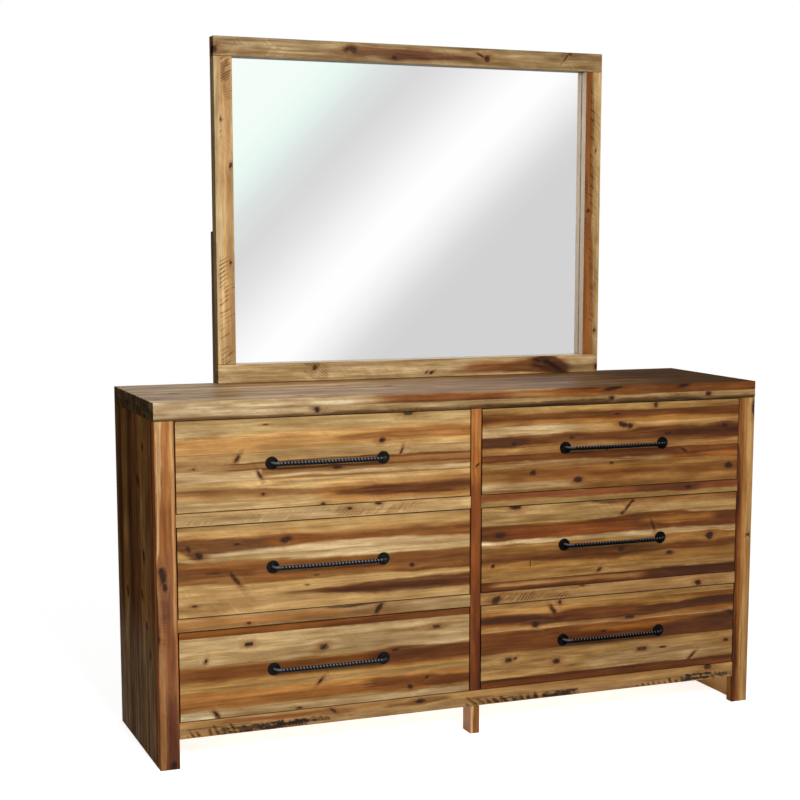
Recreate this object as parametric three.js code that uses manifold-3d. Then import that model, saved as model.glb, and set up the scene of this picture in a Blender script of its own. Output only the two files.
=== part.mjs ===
// A rustic six-drawer dresser with a framed mirror standing on its top.
// Lengths are millimetres. X runs along the front, Y from the front to the back and Z up.
// The origin is under the middle of the whole piece, on the floor.
import * as THREE from 'three';
import { mergeVertices } from 'three/addons/utils/BufferGeometryUtils.js';
import Module from 'manifold-3d';

const wasm = await Module();
wasm.setup();

// Clearances
const seat = 0.3; // between two pieces that are glued, screwed or resting together
const running = 0.4; // between a drawer and the runner under it
const overrun = 5; // how far a cutter reaches past the wood

// Case
const caseWidth = 1690;
const caseDepth = 463;
const caseHeight = 914;
const slabThickness = 45;
const sideThickness = 25;
const stileWidth = 49.5;
const faceFrameDepth = 27;
const centreStileWidth = 28.5;
const partitionThickness = 18;
const floorGap = 75; // from the floor to the bottom rail
const bottomRailHeight = 42;
const dividerHeight = 32.5;
const caseBottomThickness = 12;
const caseBottomHousing = 8; // how deep the case bottom sits in the side panels
const backThickness = 9;
const backRebateWidth = 12;
const footWidth = 26.5;
const footDepth = 50;
const edgeEase = 1.2;
const slabEase = 2;

// Drawers
const drawerRows = 3;
const gapBesideFront = 3;
const gapAboveFront = 2.2;
const frontThickness = 20;
const frontLip = 8; // wood left in front of each drawer side
const plankGrooveDepth = 1;
const drawerSideThickness = 14;
const drawerSideDrop = 30; // how far the sides stay below the top of the front
const drawerBackThickness = 12;
const drawerBackHousing = 4;
const drawerBackInset = 14; // from the back to the end of the sides
const gapBehindDrawers = 18;
const drawerBottomThickness = 5;
const bottomGrooveDepth = 6;
const bottomGrooveLift = 10;
const guideHeight = 18;
const guideClearance = 1; // between a drawer side and the guide strip beside it

// Joints between the boards of a front, as shares of its height from the bottom up, one row for each drawer
const plankJointShares = {
  bottom_left: [0.08, 0.35, 0.592, 0.925],
  middle_left: [0.305, 0.648],
  top_left: [0.32, 0.443, 0.506, 0.626],
  bottom_right: [0.092, 0.417, 0.662, 0.933],
  middle_right: [0.11, 0.22, 0.537, 0.826],
  top_right: [0.31, 0.443, 0.784, 0.915],
};

// Handles: a bar of three twisted strands, bowed a little, its ends turned in to round rosettes
const handleCentres = 294;
const handleProjection = 32.5;
const barDiameter = 11.2;
const barBow = 3; // how much farther out the middle of the bar is than its ends
const neckRadius = 15; // of the bend between the rosette and the bar
const strands = 3;
const strandPitch = 8.2; // from one ridge to the next along the bar
const strandDepth = 1.2; // from a ridge down to the groove beside it
const rosetteDiameter = 33;
const rosetteRim = 2;
const rosetteDome = 3.6;
const collarDiameter = 14;
const collarHeight = 6.5;

// Mirror
const mirrorWidth = 1144;
const mirrorHeight = 913;
const mirrorDepth = 38;
const mirrorRailHeight = 51;
const mirrorStileWidth = 50;
const glassThickness = 4;
const backingThickness = 6;
const glassRebate = 8; // how far the glass reaches behind the frame
const supportWidth = 60;
const supportThickness = 19;
const supportRise = 406; // above the top of the case
const supportDrop = 508; // below the top of the case

// Places worked out from the sizes
const underSlab = caseHeight - slabThickness;
const openingWidth = (caseWidth - stileWidth * 2 - centreStileWidth) / 2;
const openingFloor = floorGap + bottomRailHeight;
const openingHeight = (underSlab - openingFloor - dividerHeight * (drawerRows - 1)) / drawerRows;
const rowPitch = openingHeight + dividerHeight;
const frontWidth = openingWidth - gapBesideFront * 2;
const frontHeight = openingHeight - gapAboveFront * 2;
const behindFrame = faceFrameDepth + seat;
const aheadOfBack = caseDepth - backThickness - seat;
const drawerLength = aheadOfBack - gapBehindDrawers; // from the face of a front to the end of its sides
const left = -caseWidth / 2;
const front = -(caseDepth + supportThickness - handleProjection) / 2;

const material = (color, roughness, metalness) =>
  new THREE.MeshStandardMaterial({ color, roughness, metalness });
const finishes = {
  slab: material(0x8f6a3e, 0.62, 0),
  side: material(0x5a3c20, 0.62, 0),
  stile: material(0xa8743c, 0.62, 0),
  rail: material(0xb08a55, 0.62, 0),
  front: material(0xb88a4e, 0.62, 0),
  box: material(0xcbb083, 0.7, 0),
  inner: material(0xb79b70, 0.75, 0),
  iron: material(0x15171b, 0.42, 0.85),
  glass: material(0xe8eeee, 0.03, 1),
};

const axes = [new THREE.Vector3(1, 0, 0), new THREE.Vector3(0, 1, 0), new THREE.Vector3(0, 0, 1)];

// Turns an outline drawn across the grain, and extruded along it, so that the grain lies along X, Y or Z.
const alongGrain = {
  x: new THREE.Matrix4().makeBasis(axes[1], axes[2], axes[0]),
  y: new THREE.Matrix4().makeBasis(axes[2], axes[0], axes[1]),
  z: new THREE.Matrix4(),
};

function outline(points) {
  return new THREE.Shape(points.map(([x, y]) => new THREE.Vector2(x, y)));
}

function extruded(shape, length, grain, steps = 1) {
  const geometry = new THREE.ExtrudeGeometry(shape, { depth: length, steps, bevelEnabled: false });
  return geometry.applyMatrix4(alongGrain[grain]);
}

// A rectangle with its four corners cut off by the ease, the section of a planed board.
function easedRectangle(width, height, ease) {
  return outline([
    [ease, 0],
    [width - ease, 0],
    [width, ease],
    [width, height - ease],
    [width - ease, height],
    [ease, height],
    [0, height - ease],
    [0, ease],
  ]);
}

// A board with its low corner at the origin and its long edges eased.
function board(sizeX, sizeY, sizeZ, grain, ease = edgeEase) {
  const section = { x: [sizeY, sizeZ], y: [sizeZ, sizeX], z: [sizeX, sizeY] }[grain];
  const length = { x: sizeX, y: sizeY, z: sizeZ }[grain];
  return extruded(easedRectangle(section[0], section[1], ease), length, grain);
}

// A plain block given by its low and high corners, for cutting and for thin panels.
function block(low, high) {
  const size = high.map((value, axis) => value - low[axis]);
  const geometry = new THREE.BoxGeometry(size[0], size[1], size[2]);
  return geometry.translate(...low.map((value, axis) => value + size[axis] / 2));
}

function toSolid(geometry) {
  const bare = geometry.clone();
  bare.deleteAttribute('normal');
  bare.deleteAttribute('uv');
  const merged = mergeVertices(bare);
  const mesh = new wasm.Mesh({
    numProp: 3,
    vertProperties: merged.attributes.position.array,
    triVerts: new Uint32Array(merged.index.array),
  });
  return new wasm.Manifold(mesh);
}

function toGeometry(solid) {
  const mesh = solid.getMesh();
  const geometry = new THREE.BufferGeometry();
  geometry.setAttribute('position', new THREE.BufferAttribute(new Float32Array(mesh.vertProperties), 3));
  geometry.setIndex(new THREE.BufferAttribute(new Uint32Array(mesh.triVerts), 1));
  geometry.computeVertexNormals();
  return geometry;
}

const carved = (geometry, cutters) =>
  toGeometry(cutters.reduce((solid, cutter) => solid.subtract(toSolid(cutter)), toSolid(geometry)));

const joined = (geometries) =>
  toGeometry(geometries.map(toSolid).reduce((solid, other) => solid.add(other)));

function place(group, name, geometry, material, x, y, z) {
  const mesh = new THREE.Mesh(geometry, material);
  mesh.name = name;
  mesh.position.set(x, y, z);
  group.add(mesh);
  return mesh;
}

// Where the drawers of each row start, and the top of the runner that carries them.
const openingBase = (row) => openingFloor + row * rowPitch;
const runnerTop = (row) => openingBase(row) + gapAboveFront - running;
const runnerHeight = runnerTop(0) - floorGap - caseBottomThickness - seat;

// A drawer's runner seen from the front: the ledge under the drawer side and the guide strip beside it,
// standing out from a panel's face at x = face to a drawer on its right whose side starts at drawerEdge.
function runnerSteps(row, face, drawerEdge) {
  const top = runnerTop(row);
  const guideFace = drawerEdge - guideClearance;
  const ledgeEnd = drawerEdge + drawerSideThickness;
  return [
    [face, top - runnerHeight],
    [ledgeEnd, top - runnerHeight],
    [ledgeEnd, top],
    [guideFace, top],
    [guideFace, top + guideHeight],
    [face, top + guideHeight],
  ];
}

const rows = Array.from({ length: drawerRows }, (_, row) => row);

// A side panel down to the floor, with its runners, a housing for the case bottom and a rebate for the back.
function leftSidePanel() {
  const drawerEdge = stileWidth + gapBesideFront;
  const steps = rows.flatMap((row) => runnerSteps(row, sideThickness, drawerEdge));
  const height = underSlab - seat;
  const section = outline([[0, 0], [sideThickness, 0], ...steps, [sideThickness, height], [0, height]]);
  const length = caseDepth - behindFrame;
  // The section lies in X and Z, so it is extruded towards the front and moved to the back.
  const panel = new THREE.ExtrudeGeometry(section, { depth: length, bevelEnabled: false });
  panel.rotateX(Math.PI / 2).translate(0, caseDepth, 0);
  const housing = block(
    [sideThickness - caseBottomHousing, behindFrame - overrun, floorGap],
    [drawerEdge, aheadOfBack, floorGap + caseBottomThickness + seat],
  );
  const rebate = block(
    [sideThickness - backRebateWidth, aheadOfBack, floorGap - seat],
    [drawerEdge + drawerSideThickness + overrun, caseDepth + overrun, height + overrun],
  );
  return carved(panel, [housing, rebate]);
}

function mirrored(geometry) {
  const solid = toSolid(geometry).mirror([1, 0, 0]);
  return toGeometry(solid);
}

// The upright board between the two columns of drawers, with runners on both faces.
function partition() {
  const drawerEdge = centreStileWidth / 2 + gapBesideFront;
  const half = partitionThickness / 2;
  const steps = rows.flatMap((row) => runnerSteps(row, half, drawerEdge));
  const otherSide = steps.map(([x, z]) => [-x, z]).reverse();
  const height = underSlab - seat;
  const section = outline([...steps, [half, height], [-half, height], ...otherSide]);
  const length = aheadOfBack - behindFrame;
  const panel = new THREE.ExtrudeGeometry(section, { depth: length, bevelEnabled: false });
  return panel.rotateX(Math.PI / 2).translate(0, aheadOfBack, 0);
}

function slab() {
  const shape = outline([
    [slabEase, slabEase],
    [caseWidth - slabEase, slabEase],
    [caseWidth - slabEase, caseDepth - slabEase],
    [slabEase, caseDepth - slabEase],
  ]);
  return new THREE.ExtrudeGeometry(shape, {
    depth: slabThickness - slabEase * 2,
    bevelThickness: slabEase,
    bevelSize: slabEase,
    bevelSegments: 1,
  }).translate(0, 0, slabEase);
}

function makeCase() {
  const group = new THREE.Group();
  group.position.set(left, front, 0);
  const middle = caseWidth / 2;
  const uprightHeight = underSlab - seat;
  const side = leftSidePanel();
  place(group, 'left_side_panel', side, finishes.side, 0, 0, 0);
  place(group, 'right_side_panel', mirrored(side), finishes.side, caseWidth, 0, 0);
  const stile = board(stileWidth, faceFrameDepth, uprightHeight, 'z');
  const rightStileX = caseWidth - stileWidth;
  place(group, 'left_front_stile', stile, finishes.stile, 0, 0, 0);
  place(group, 'right_front_stile', stile, finishes.stile, rightStileX, 0, 0);
  place(group, 'centre_partition', partition(), finishes.inner, middle, 0, 0);
  place(group, 'top_slab', slab(), finishes.slab, 0, 0, underSlab);

  const railLength = caseWidth - (stileWidth + seat) * 2;
  const rail = board(railLength, faceFrameDepth, bottomRailHeight, 'x');
  place(group, 'bottom_rail', rail, finishes.rail, stileWidth + seat, 0, floorGap);

  const centreBase = openingFloor + seat;
  const centre = board(centreStileWidth, faceFrameDepth, uprightHeight - centreBase, 'z');
  place(group, 'centre_stile', centre, finishes.stile, middle - centreStileWidth / 2, 0, centreBase);

  const divider = board(openingWidth - seat * 2, faceFrameDepth, dividerHeight, 'x');
  const rightOfCentre = middle + centreStileWidth / 2;
  ['lower', 'upper'].forEach((level, row) => {
    const z = openingBase(row) + openingHeight;
    place(group, `${level}_left_divider`, divider, finishes.rail, stileWidth + seat, 0, z);
    place(group, `${level}_right_divider`, divider, finishes.rail, rightOfCentre + seat, 0, z);
  });

  const bottomInset = sideThickness - caseBottomHousing + seat;
  const bottom = block(
    [bottomInset, behindFrame, floorGap + seat],
    [caseWidth - bottomInset, aheadOfBack - seat, floorGap + caseBottomThickness],
  );
  place(group, 'case_bottom', bottom, finishes.inner, 0, 0, 0);

  const backInset = sideThickness - backRebateWidth + seat;
  const back = block(
    [backInset, caseDepth - backThickness, floorGap],
    [caseWidth - backInset, caseDepth, uprightHeight],
  );
  place(group, 'back_panel', back, finishes.inner, 0, 0, 0);

  const foot = board(footWidth, footDepth, floorGap - seat, 'z');
  place(group, 'centre_foot', foot, finishes.stile, middle - footWidth / 2, 0, 0);
  return group;
}

// The front's section across the boards: a flat back, and a shallow V on the face at each joint.
function plankedSection(shares) {
  const face = [];
  for (const share of shares) {
    const z = frontHeight * share;
    face.push([0, z - plankGrooveDepth], [plankGrooveDepth, z], [0, z + plankGrooveDepth]);
  }
  return outline([
    [frontThickness, 0],
    [frontThickness, frontHeight],
    [edgeEase, frontHeight],
    [0, frontHeight - edgeEase],
    ...face.reverse(),
    [0, edgeEase],
    [edgeEase, 0],
  ]);
}

const drawerSideHeight = frontHeight - drawerSideDrop;

function drawerFront(shares) {
  const planks = extruded(plankedSection(shares), frontWidth, 'x');
  const rebateWidth = drawerSideThickness + seat;
  const rebateTop = drawerSideHeight + seat;
  const behind = frontThickness + overrun;
  const rebate = (low, high) => block([low, frontLip, -overrun], [high, behind, rebateTop]);
  const leftRebate = rebate(-overrun, rebateWidth);
  const rightRebate = rebate(frontWidth - rebateWidth, frontWidth + overrun);
  const groove = block(
    [rebateWidth - bottomGrooveDepth, frontThickness - bottomGrooveDepth, bottomGrooveLift],
    [
      frontWidth - rebateWidth + bottomGrooveDepth,
      behind,
      bottomGrooveLift + drawerBottomThickness + seat * 2,
    ],
  );
  return carved(planks, [leftRebate, rightRebate, groove]);
}

const backStart = drawerLength - drawerBackThickness - drawerBackInset;

// A drawer side with its groove for the bottom and its housing for the back, both on the inner face.
function drawerSide() {
  const length = drawerLength - frontLip - seat;
  const side = board(drawerSideThickness, length, drawerSideHeight, 'y');
  const innerFace = drawerSideThickness - bottomGrooveDepth;
  const groove = block(
    [innerFace, -overrun, bottomGrooveLift],
    [drawerSideThickness + overrun, length + overrun, bottomGrooveLift + drawerBottomThickness + seat * 2],
  );
  const housingStart = backStart - frontLip - seat * 2;
  const housingEnd = housingStart + drawerBackThickness + seat * 2;
  const housing = block(
    [drawerSideThickness - drawerBackHousing, housingStart, -overrun],
    [drawerSideThickness + overrun, housingEnd, drawerSideHeight + overrun],
  );
  return carved(side, [groove, housing]);
}

// The centre line of a handle from one rosette to the other, out from the front and bowed in the middle.
function handlePath() {
  const half = handleCentres / 2;
  const reach = handleProjection - barDiameter / 2;
  const shoulder = reach - barBow;
  const foot = new THREE.Vector3(-half, 0, 0);
  const bendStart = new THREE.Vector3(-half, -(shoulder - neckRadius), 0);
  const corner = new THREE.Vector3(-half, -shoulder, 0);
  const bendEnd = new THREE.Vector3(-half + neckRadius, -shoulder, 0);
  const crown = new THREE.Vector3(0, -(reach + barBow), 0);
  const flip = ({ x, y, z }) => new THREE.Vector3(-x, y, z);
  const path = new THREE.CurvePath();
  path.add(new THREE.LineCurve3(foot, bendStart));
  path.add(new THREE.QuadraticBezierCurve3(bendStart, corner, bendEnd));
  path.add(new THREE.QuadraticBezierCurve3(bendEnd, crown, flip(bendEnd)));
  path.add(new THREE.QuadraticBezierCurve3(flip(bendEnd), flip(corner), flip(bendStart)));
  path.add(new THREE.LineCurve3(flip(bendStart), flip(foot)));
  return path;
}

// A round bar drawn straight, then twisted into strands and laid along the handle's path.
// The necks stay round: the strands rise from nothing where the bend ends.
function twistedBar() {
  const path = handlePath();
  const length = path.getLength();
  const pointsPerStrand = 3;
  const stepsPerTurn = 7;
  const lead = strandPitch * strands;
  const steps = Math.round((length / lead) * stepsPerTurn);
  const circle = [];
  for (let i = 0; i < strands * pointsPerStrand; i += 1) {
    const angle = (i / (strands * pointsPerStrand)) * Math.PI * 2;
    circle.push([Math.cos(angle), Math.sin(angle)]);
  }
  const bar = new THREE.ExtrudeGeometry(outline(circle), { depth: length, steps, bevelEnabled: false });
  const neck = handleProjection - barBow - barDiameter / 2 + neckRadius / 2;
  const position = bar.attributes.position;
  const point = new THREE.Vector3();
  for (let i = 0; i < position.count; i += 1) {
    point.fromBufferAttribute(position, i);
    const along = THREE.MathUtils.clamp(point.z / length, 0, 1);
    const fromEnd = Math.min(point.z, length - point.z);
    const rise = THREE.MathUtils.smoothstep(fromEnd, neck - strandPitch / 2, neck + strandPitch / 2);
    const angle = Math.atan2(point.y, point.x);
    const swell = ((Math.cos(angle * strands) - 1) / 2) * strandDepth * rise;
    const radius = barDiameter / 2 + swell;
    const turned = angle + (point.z / lead) * Math.PI * 2;
    const tangent = path.getTangentAt(along);
    const sideways = new THREE.Vector3().crossVectors(tangent, axes[2]);
    point.copy(path.getPointAt(along));
    point.addScaledVector(sideways, -Math.cos(turned) * radius);
    point.addScaledVector(axes[2], Math.sin(turned) * radius);
    position.setXYZ(i, point.x, point.y, point.z);
  }
  return bar;
}

// A round plate against the drawer front, domed up to a collar about the end of the bar.
function rosette(x) {
  const radius = rosetteDiameter / 2;
  const collar = collarDiameter / 2;
  const facets = 20;
  const profile = [
    [0, 0],
    [radius, 0],
    [radius, -rosetteRim],
    [radius - rosetteRim, -rosetteDome],
    [collar + rosetteRim, -rosetteDome],
    [collar, -collarHeight],
    [0, -collarHeight],
  ];
  const points = profile.map(([r, y]) => new THREE.Vector2(r, y)).reverse();
  return new THREE.LatheGeometry(points, facets).translate(x, 0, 0);
}

function handle() {
  const half = handleCentres / 2;
  return joined([twistedBar(), rosette(-half), rosette(half)]);
}

function makeDrawer(name, shares, parts) {
  const group = new THREE.Group();
  place(group, `${name}_front`, drawerFront(shares), finishes.front, 0, 0, 0);
  const sideStart = frontLip + seat;
  place(group, `${name}_left_side`, parts.side, finishes.box, 0, sideStart, 0);
  place(group, `${name}_right_side`, parts.sideMirrored, finishes.box, frontWidth, sideStart, 0);

  const backInset = drawerSideThickness - drawerBackHousing + seat;
  const backBase = bottomGrooveLift + drawerBottomThickness + seat * 2;
  const back = board(frontWidth - backInset * 2, drawerBackThickness, drawerSideHeight - backBase, 'x');
  place(group, `${name}_back`, back, finishes.box, backInset, backStart, backBase);

  const bottomInset = drawerSideThickness - bottomGrooveDepth + seat;
  const bottomStart = frontThickness - bottomGrooveDepth + seat;
  const bottomLength = backStart + drawerBackThickness - bottomStart;
  const bottom = block([0, 0, 0], [frontWidth - bottomInset * 2, bottomLength, drawerBottomThickness]);
  place(group, `${name}_bottom`, bottom, finishes.inner, bottomInset, bottomStart, bottomGrooveLift + seat);

  place(group, `${name}_handle`, parts.handle, finishes.iron, frontWidth / 2, -seat, frontHeight / 2);
  return group;
}

function makeDrawers() {
  const group = new THREE.Group();
  group.position.set(left, front, 0);
  const side = drawerSide();
  const parts = { side, sideMirrored: mirrored(side), handle: handle() };
  const columnStarts = { left: stileWidth, right: (caseWidth + centreStileWidth) / 2 };
  for (const [column, start] of Object.entries(columnStarts)) {
    ['bottom', 'middle', 'top'].forEach((level, row) => {
      const drawer = makeDrawer(`${level}_${column}_drawer`, plankJointShares[`${level}_${column}`], parts);
      drawer.position.set(start + gapBesideFront, 0, openingBase(row) + gapAboveFront);
      group.add(drawer);
    });
  }
  return group;
}

// The mirror's frame stands on the case with its back flush, and its rails run over the ends of its stiles.
function makeMirror() {
  const group = new THREE.Group();
  group.position.set(-mirrorWidth / 2, front + caseDepth - mirrorDepth, caseHeight + seat);
  const rebateDepth = glassThickness + backingThickness + seat * 2;
  const rebateFront = mirrorDepth - rebateDepth;
  const stileHeight = mirrorHeight - (mirrorRailHeight + seat) * 2;
  const sightWidth = mirrorWidth - mirrorStileWidth * 2;
  const reach = glassRebate + seat;
  const rebate = (x, z) => {
    const corner = [mirrorStileWidth - reach - x, rebateFront, mirrorRailHeight - reach - z];
    const width = sightWidth + reach * 2;
    const height = stileHeight + (seat + reach) * 2;
    return block(corner, [corner[0] + width, mirrorDepth + overrun, corner[2] + height]);
  };
  const member = (name, geometry, material, x, z) =>
    place(group, name, carved(geometry, [rebate(x, z)]), material, x, 0, z);
  const rail = board(mirrorWidth, mirrorDepth, mirrorRailHeight, 'x');
  const stile = board(mirrorStileWidth, mirrorDepth, stileHeight, 'z');
  const stileBase = mirrorRailHeight + seat;
  member('mirror_bottom_rail', rail, finishes.rail, 0, 0);
  member('mirror_top_rail', rail, finishes.rail, 0, mirrorHeight - mirrorRailHeight);
  member('mirror_left_stile', stile, finishes.stile, 0, stileBase);
  member('mirror_right_stile', stile, finishes.stile, mirrorWidth - mirrorStileWidth, stileBase);

  const pane = (thickness) =>
    block([0, 0, 0], [sightWidth + glassRebate * 2, thickness, stileHeight + (seat + glassRebate) * 2]);
  const paneX = mirrorStileWidth - glassRebate;
  const paneZ = mirrorRailHeight - glassRebate;
  place(group, 'mirror_glass', pane(glassThickness), finishes.glass, paneX, rebateFront + seat, paneZ);
  const backingStart = rebateFront + glassThickness + seat * 2;
  place(group, 'mirror_backing', pane(backingThickness), finishes.inner, paneX, backingStart, paneZ);

  const support = board(supportWidth, supportThickness, supportRise + supportDrop, 'z');
  const supportY = mirrorDepth + seat;
  const supportZ = -(supportDrop + seat);
  const rightSupportX = mirrorWidth - supportWidth;
  place(group, 'left_mirror_support', support, finishes.side, 0, supportY, supportZ);
  place(group, 'right_mirror_support', support, finishes.side, rightSupportX, supportY, supportZ);
  return group;
}

const dresser = new THREE.Group();
dresser.add(makeCase(), makeDrawers(), makeMirror());

export default dresser;
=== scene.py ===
"""A rustic dresser of banded acacia boards with twisted iron handles and a framed mirror.

Each visible board is a closed mesh of its own, fine enough to carry its heartwood bands, knots, saw marks and
relief. Boards are painted in code from lists of such features, and a node material adds the fibres and pores.
Lengths are millimetres until a mesh is made. A board's features are placed by u, along its grain, and v, across it.
"""
import math

import bmesh
import bpy
import numpy as np
from mathutils import Matrix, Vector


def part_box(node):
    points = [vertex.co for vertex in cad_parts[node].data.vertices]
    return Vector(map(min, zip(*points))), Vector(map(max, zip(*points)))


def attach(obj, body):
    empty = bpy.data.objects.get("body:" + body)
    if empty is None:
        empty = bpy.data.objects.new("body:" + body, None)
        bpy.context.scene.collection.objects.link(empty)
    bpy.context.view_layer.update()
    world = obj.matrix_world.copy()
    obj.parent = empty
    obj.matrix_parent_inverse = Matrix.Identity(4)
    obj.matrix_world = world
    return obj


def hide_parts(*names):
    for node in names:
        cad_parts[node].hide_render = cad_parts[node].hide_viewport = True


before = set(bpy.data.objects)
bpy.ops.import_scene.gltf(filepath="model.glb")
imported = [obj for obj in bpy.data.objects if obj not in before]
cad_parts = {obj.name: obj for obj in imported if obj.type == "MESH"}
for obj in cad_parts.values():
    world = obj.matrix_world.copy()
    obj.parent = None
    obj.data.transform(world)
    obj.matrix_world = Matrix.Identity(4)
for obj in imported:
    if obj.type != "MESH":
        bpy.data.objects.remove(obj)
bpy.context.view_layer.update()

MM = 0.001
X, Y, Z = 0, 1, 2
DRAWERS = [(level, column) for column in ("left", "right") for level in ("bottom", "middle", "top")]


def node_box(node):
    """A CAD node's lowest and highest corner, in mm."""
    low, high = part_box(node)
    return np.array(low) / MM, np.array(high) / MM


CASE_LOW, _ = node_box("left_front_stile")
SLAB_LOW, SLAB_HIGH = node_box("top_slab")
MIRROR_LOW, _ = node_box("mirror_bottom_rail")

# ---- Smooth noise, the same on every run


def seed_of(text):
    """A small number for a name."""
    return sum((index + 3) * ord(letter) for index, letter in enumerate(text)) % 911


def scattered(ix, iy, seed):
    """A number from 0 to 1 for each cell of a grid."""
    n = (ix.astype(np.int64) * 374761393 + iy.astype(np.int64) * 668265263 + int(seed) * 974634777) & 0xFFFFFFFF
    n = ((n ^ (n >> 13)) * 1274126177) & 0xFFFFFFFF
    return ((n ^ (n >> 16)) & 0xFFFFFF) / 0xFFFFFF


def noise(x, y, seed):
    """Smooth values from -1 to 1."""
    x0, y0 = np.floor(x), np.floor(y)
    fx, fy = x - x0, y - y0
    fx, fy = fx * fx * (3 - 2 * fx), fy * fy * (3 - 2 * fy)
    low = scattered(x0, y0, seed) * (1 - fx) + scattered(x0 + 1, y0, seed) * fx
    high = scattered(x0, y0 + 1, seed) * (1 - fx) + scattered(x0 + 1, y0 + 1, seed) * fx
    return (low * (1 - fy) + high * fy) * 2 - 1


NOISE_LAYERS = 3


def layered(x, y, seed):
    """Noise with finer and fainter layers on top."""
    total = np.zeros_like(x)
    for layer in range(NOISE_LAYERS):
        total += noise(x * 2 ** layer, y * 2 ** layer, seed + layer * 31) * 0.55 ** layer
    return total


def step(value, soft):
    """Rises from 0 to 1 as value passes 0, over the soft width."""
    t = np.clip(value / soft + 0.5, 0, 1)
    return t * t * (3 - 2 * t)


# ---- The wood's colours, in sRGB of 0 to 255

PALE = (202, 172, 124)
TAN = (184, 149, 98)
SAWN = (166, 136, 94)
GOLD = (172, 126, 68)
ORANGE = (170, 112, 52)
BROWN = (126, 74, 30)
UMBER = (94, 50, 18)
DARK = (66, 34, 14)
KNOT = (38, 23, 15)
KNOT_RIM = (90, 52, 24)
KNOT_HALO = (140, 88, 44)
SCRAPED = (44, 30, 24)
RECESS = (212, 196, 176)
# The underside of the mirror's top rail, darkened as painted shade
PAINTED_SHADE_RECESS = (84, 72, 40)
FRONT_BACK = (172, 128, 76)
# The panels' inner wood, lightened beyond its own colour with painted light where the inner face shows under the case
LIGHTENED_SIDE_INSIDE = (206, 166, 112)
FRAME_BACK = (150, 108, 62)
BATTEN = (112, 84, 48)
DEEPENING = np.array([0.8, 1.0, 1.3])  # darker wood is redder and richer too
SAW_WIDTH = 1.9
SAW_DARKNESS = 1.7
BROAD_EDGE = 3  # a band with a softer edge than this spreads beyond its track


def linear(colour):
    """An sRGB colour as linear light."""
    c = np.array(colour, float) / 255
    return np.where(c <= 0.04045, c / 12.92, ((c + 0.055) / 1.055) ** 2.4)


def covered(colour, paint, mask):
    """The colour under paint that shows as much as the mask says."""
    return colour * (1 - mask) + linear(paint) * mask


# ---- Painting a board. Each mask is how much of a feature shows at each point.


def knot_masks(u, v, knots, seed):
    """The cores, rims, halos, cheeks and rings of knots, and v warped as the grain flows round them."""
    warped = v.copy()
    cores, rims, halos, cheeks, rings = (np.zeros_like(u) for _ in range(5))
    for index, (ku, kv, long, short, *lean) in enumerate(knots):
        near = (np.abs(u - ku) < 6 * long + 50) & (np.abs(v - kv) < 6 * long + 25)
        if not near.any():
            continue
        angle = math.radians(lean[0]) if lean else 0.0
        du, dv = u[near] - ku, v[near] - kv
        along = du * math.cos(angle) + dv * math.sin(angle)
        aside = -du * math.sin(angle) + dv * math.cos(angle)
        ragged = 1 + 0.2 * noise(du / 4, dv / 4, seed + 90 + index) + 0.2 * noise(du / 11, dv / 11, seed + 99)
        distance = np.hypot(along / long, aside / short) * ragged  # 1 at the knot's edge
        warped[near] -= dv * 0.75 * np.exp(-(du / (long + 24)) ** 2 - (dv / (short + 6)) ** 2)
        cores[near] = np.maximum(cores[near], 1 - step(distance - 0.78, 0.8))
        rims[near] = np.maximum(rims[near], 1 - step(distance - 1.15, 0.9))
        halos[near] = np.maximum(halos[near], np.exp(-((distance - 1.6) / 1.0) ** 2))
        cheeks[near] += np.exp(-(along / long / 2.4) ** 2 - ((np.abs(aside) / short - 2.3) / 0.8) ** 2)
        rings[near] = np.cos(distance * 8)
    return warped, cores, rims, halos, cheeks, rings


def band_mask(u, v, band, edge, streaks):
    """A band of heartwood between two lines, its edges ragged and its ends faded."""
    _, strength, soft, track, *fade = band
    us, lows, highs = (np.array(column, float) for column in zip(*track))
    low, high = np.interp(u, us, lows), np.interp(u, us, highs)
    if soft > BROAD_EDGE:
        soft, low, high = soft * 1.7, low - soft * 0.4, high + soft * 0.4
    ragged = edge * np.clip((high - low) / 14, 0.2, 1) + 0.2 * soft * streaks
    inside = step(v + ragged - low, soft) * step(high - v - ragged, soft)
    fade = fade[0] if fade else min(60.0, 0.25 * (us[-1] - us[0])) + 1
    inside *= step(u - us[0] + fade / 2, fade) * step(us[-1] - u + fade / 2, fade)
    return np.clip(inside * strength * (1.05 + 0.25 * streaks), 0, 1)


def scrape_mask(u, v, scrape, seed, index):
    """A torn dark patch."""
    u0, u1, v0, v1, strength = scrape
    torn = layered(u / 16, v / 6, seed + 301 + index) + 0.5 * noise((u + v) / 5, v / 9, seed + 331)
    inside = step(u - u0 + 14 * torn, 24) * step(u1 - u + 14 * torn, 24)
    inside *= step(v - v0 + 3 * torn, 4) * step(v1 - v + 3 * torn, 4)
    return np.clip(inside * strength, 0, 1) * step(torn + strength - 0.6, 0.5)


def saw_mask(u, v, saw, seed, index):
    """A row of strokes that a coarse saw left, some missing, each fading along its own length."""
    u0, u1, v0, v1, pitch, lean, strength, *width = saw
    phase = (u + lean * (v - v0)) / pitch + 0.35 * noise(u / pitch / 2.5, v / 25, seed + 51 + index)
    cell = np.floor(phase)
    cut = scattered(cell, cell * 0, seed + 61 + index) > 0.15
    stroke = np.exp(-((phase - cell - 0.5) * pitch / (width[0] if width else SAW_WIDTH)) ** 2)
    reach = v0 + (v1 - v0) * (0.35 + 0.75 * scattered(cell, cell * 0 + 3, seed + 71))
    stroke *= 1.3 - 0.7 * np.clip((v - v0) / (reach - v0), 0, 1)
    inside = step(u - u0, 16) * step(u1 - u, 16) * step(v - v0, 2.4) * step(reach - v, 3)
    blotch = np.clip(0.75 + 0.8 * noise(u / 34, v / 9, seed + 81), 0, 1.2)
    return np.clip(inside * stroke * strength * blotch * cut, 0, 1.3)


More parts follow.
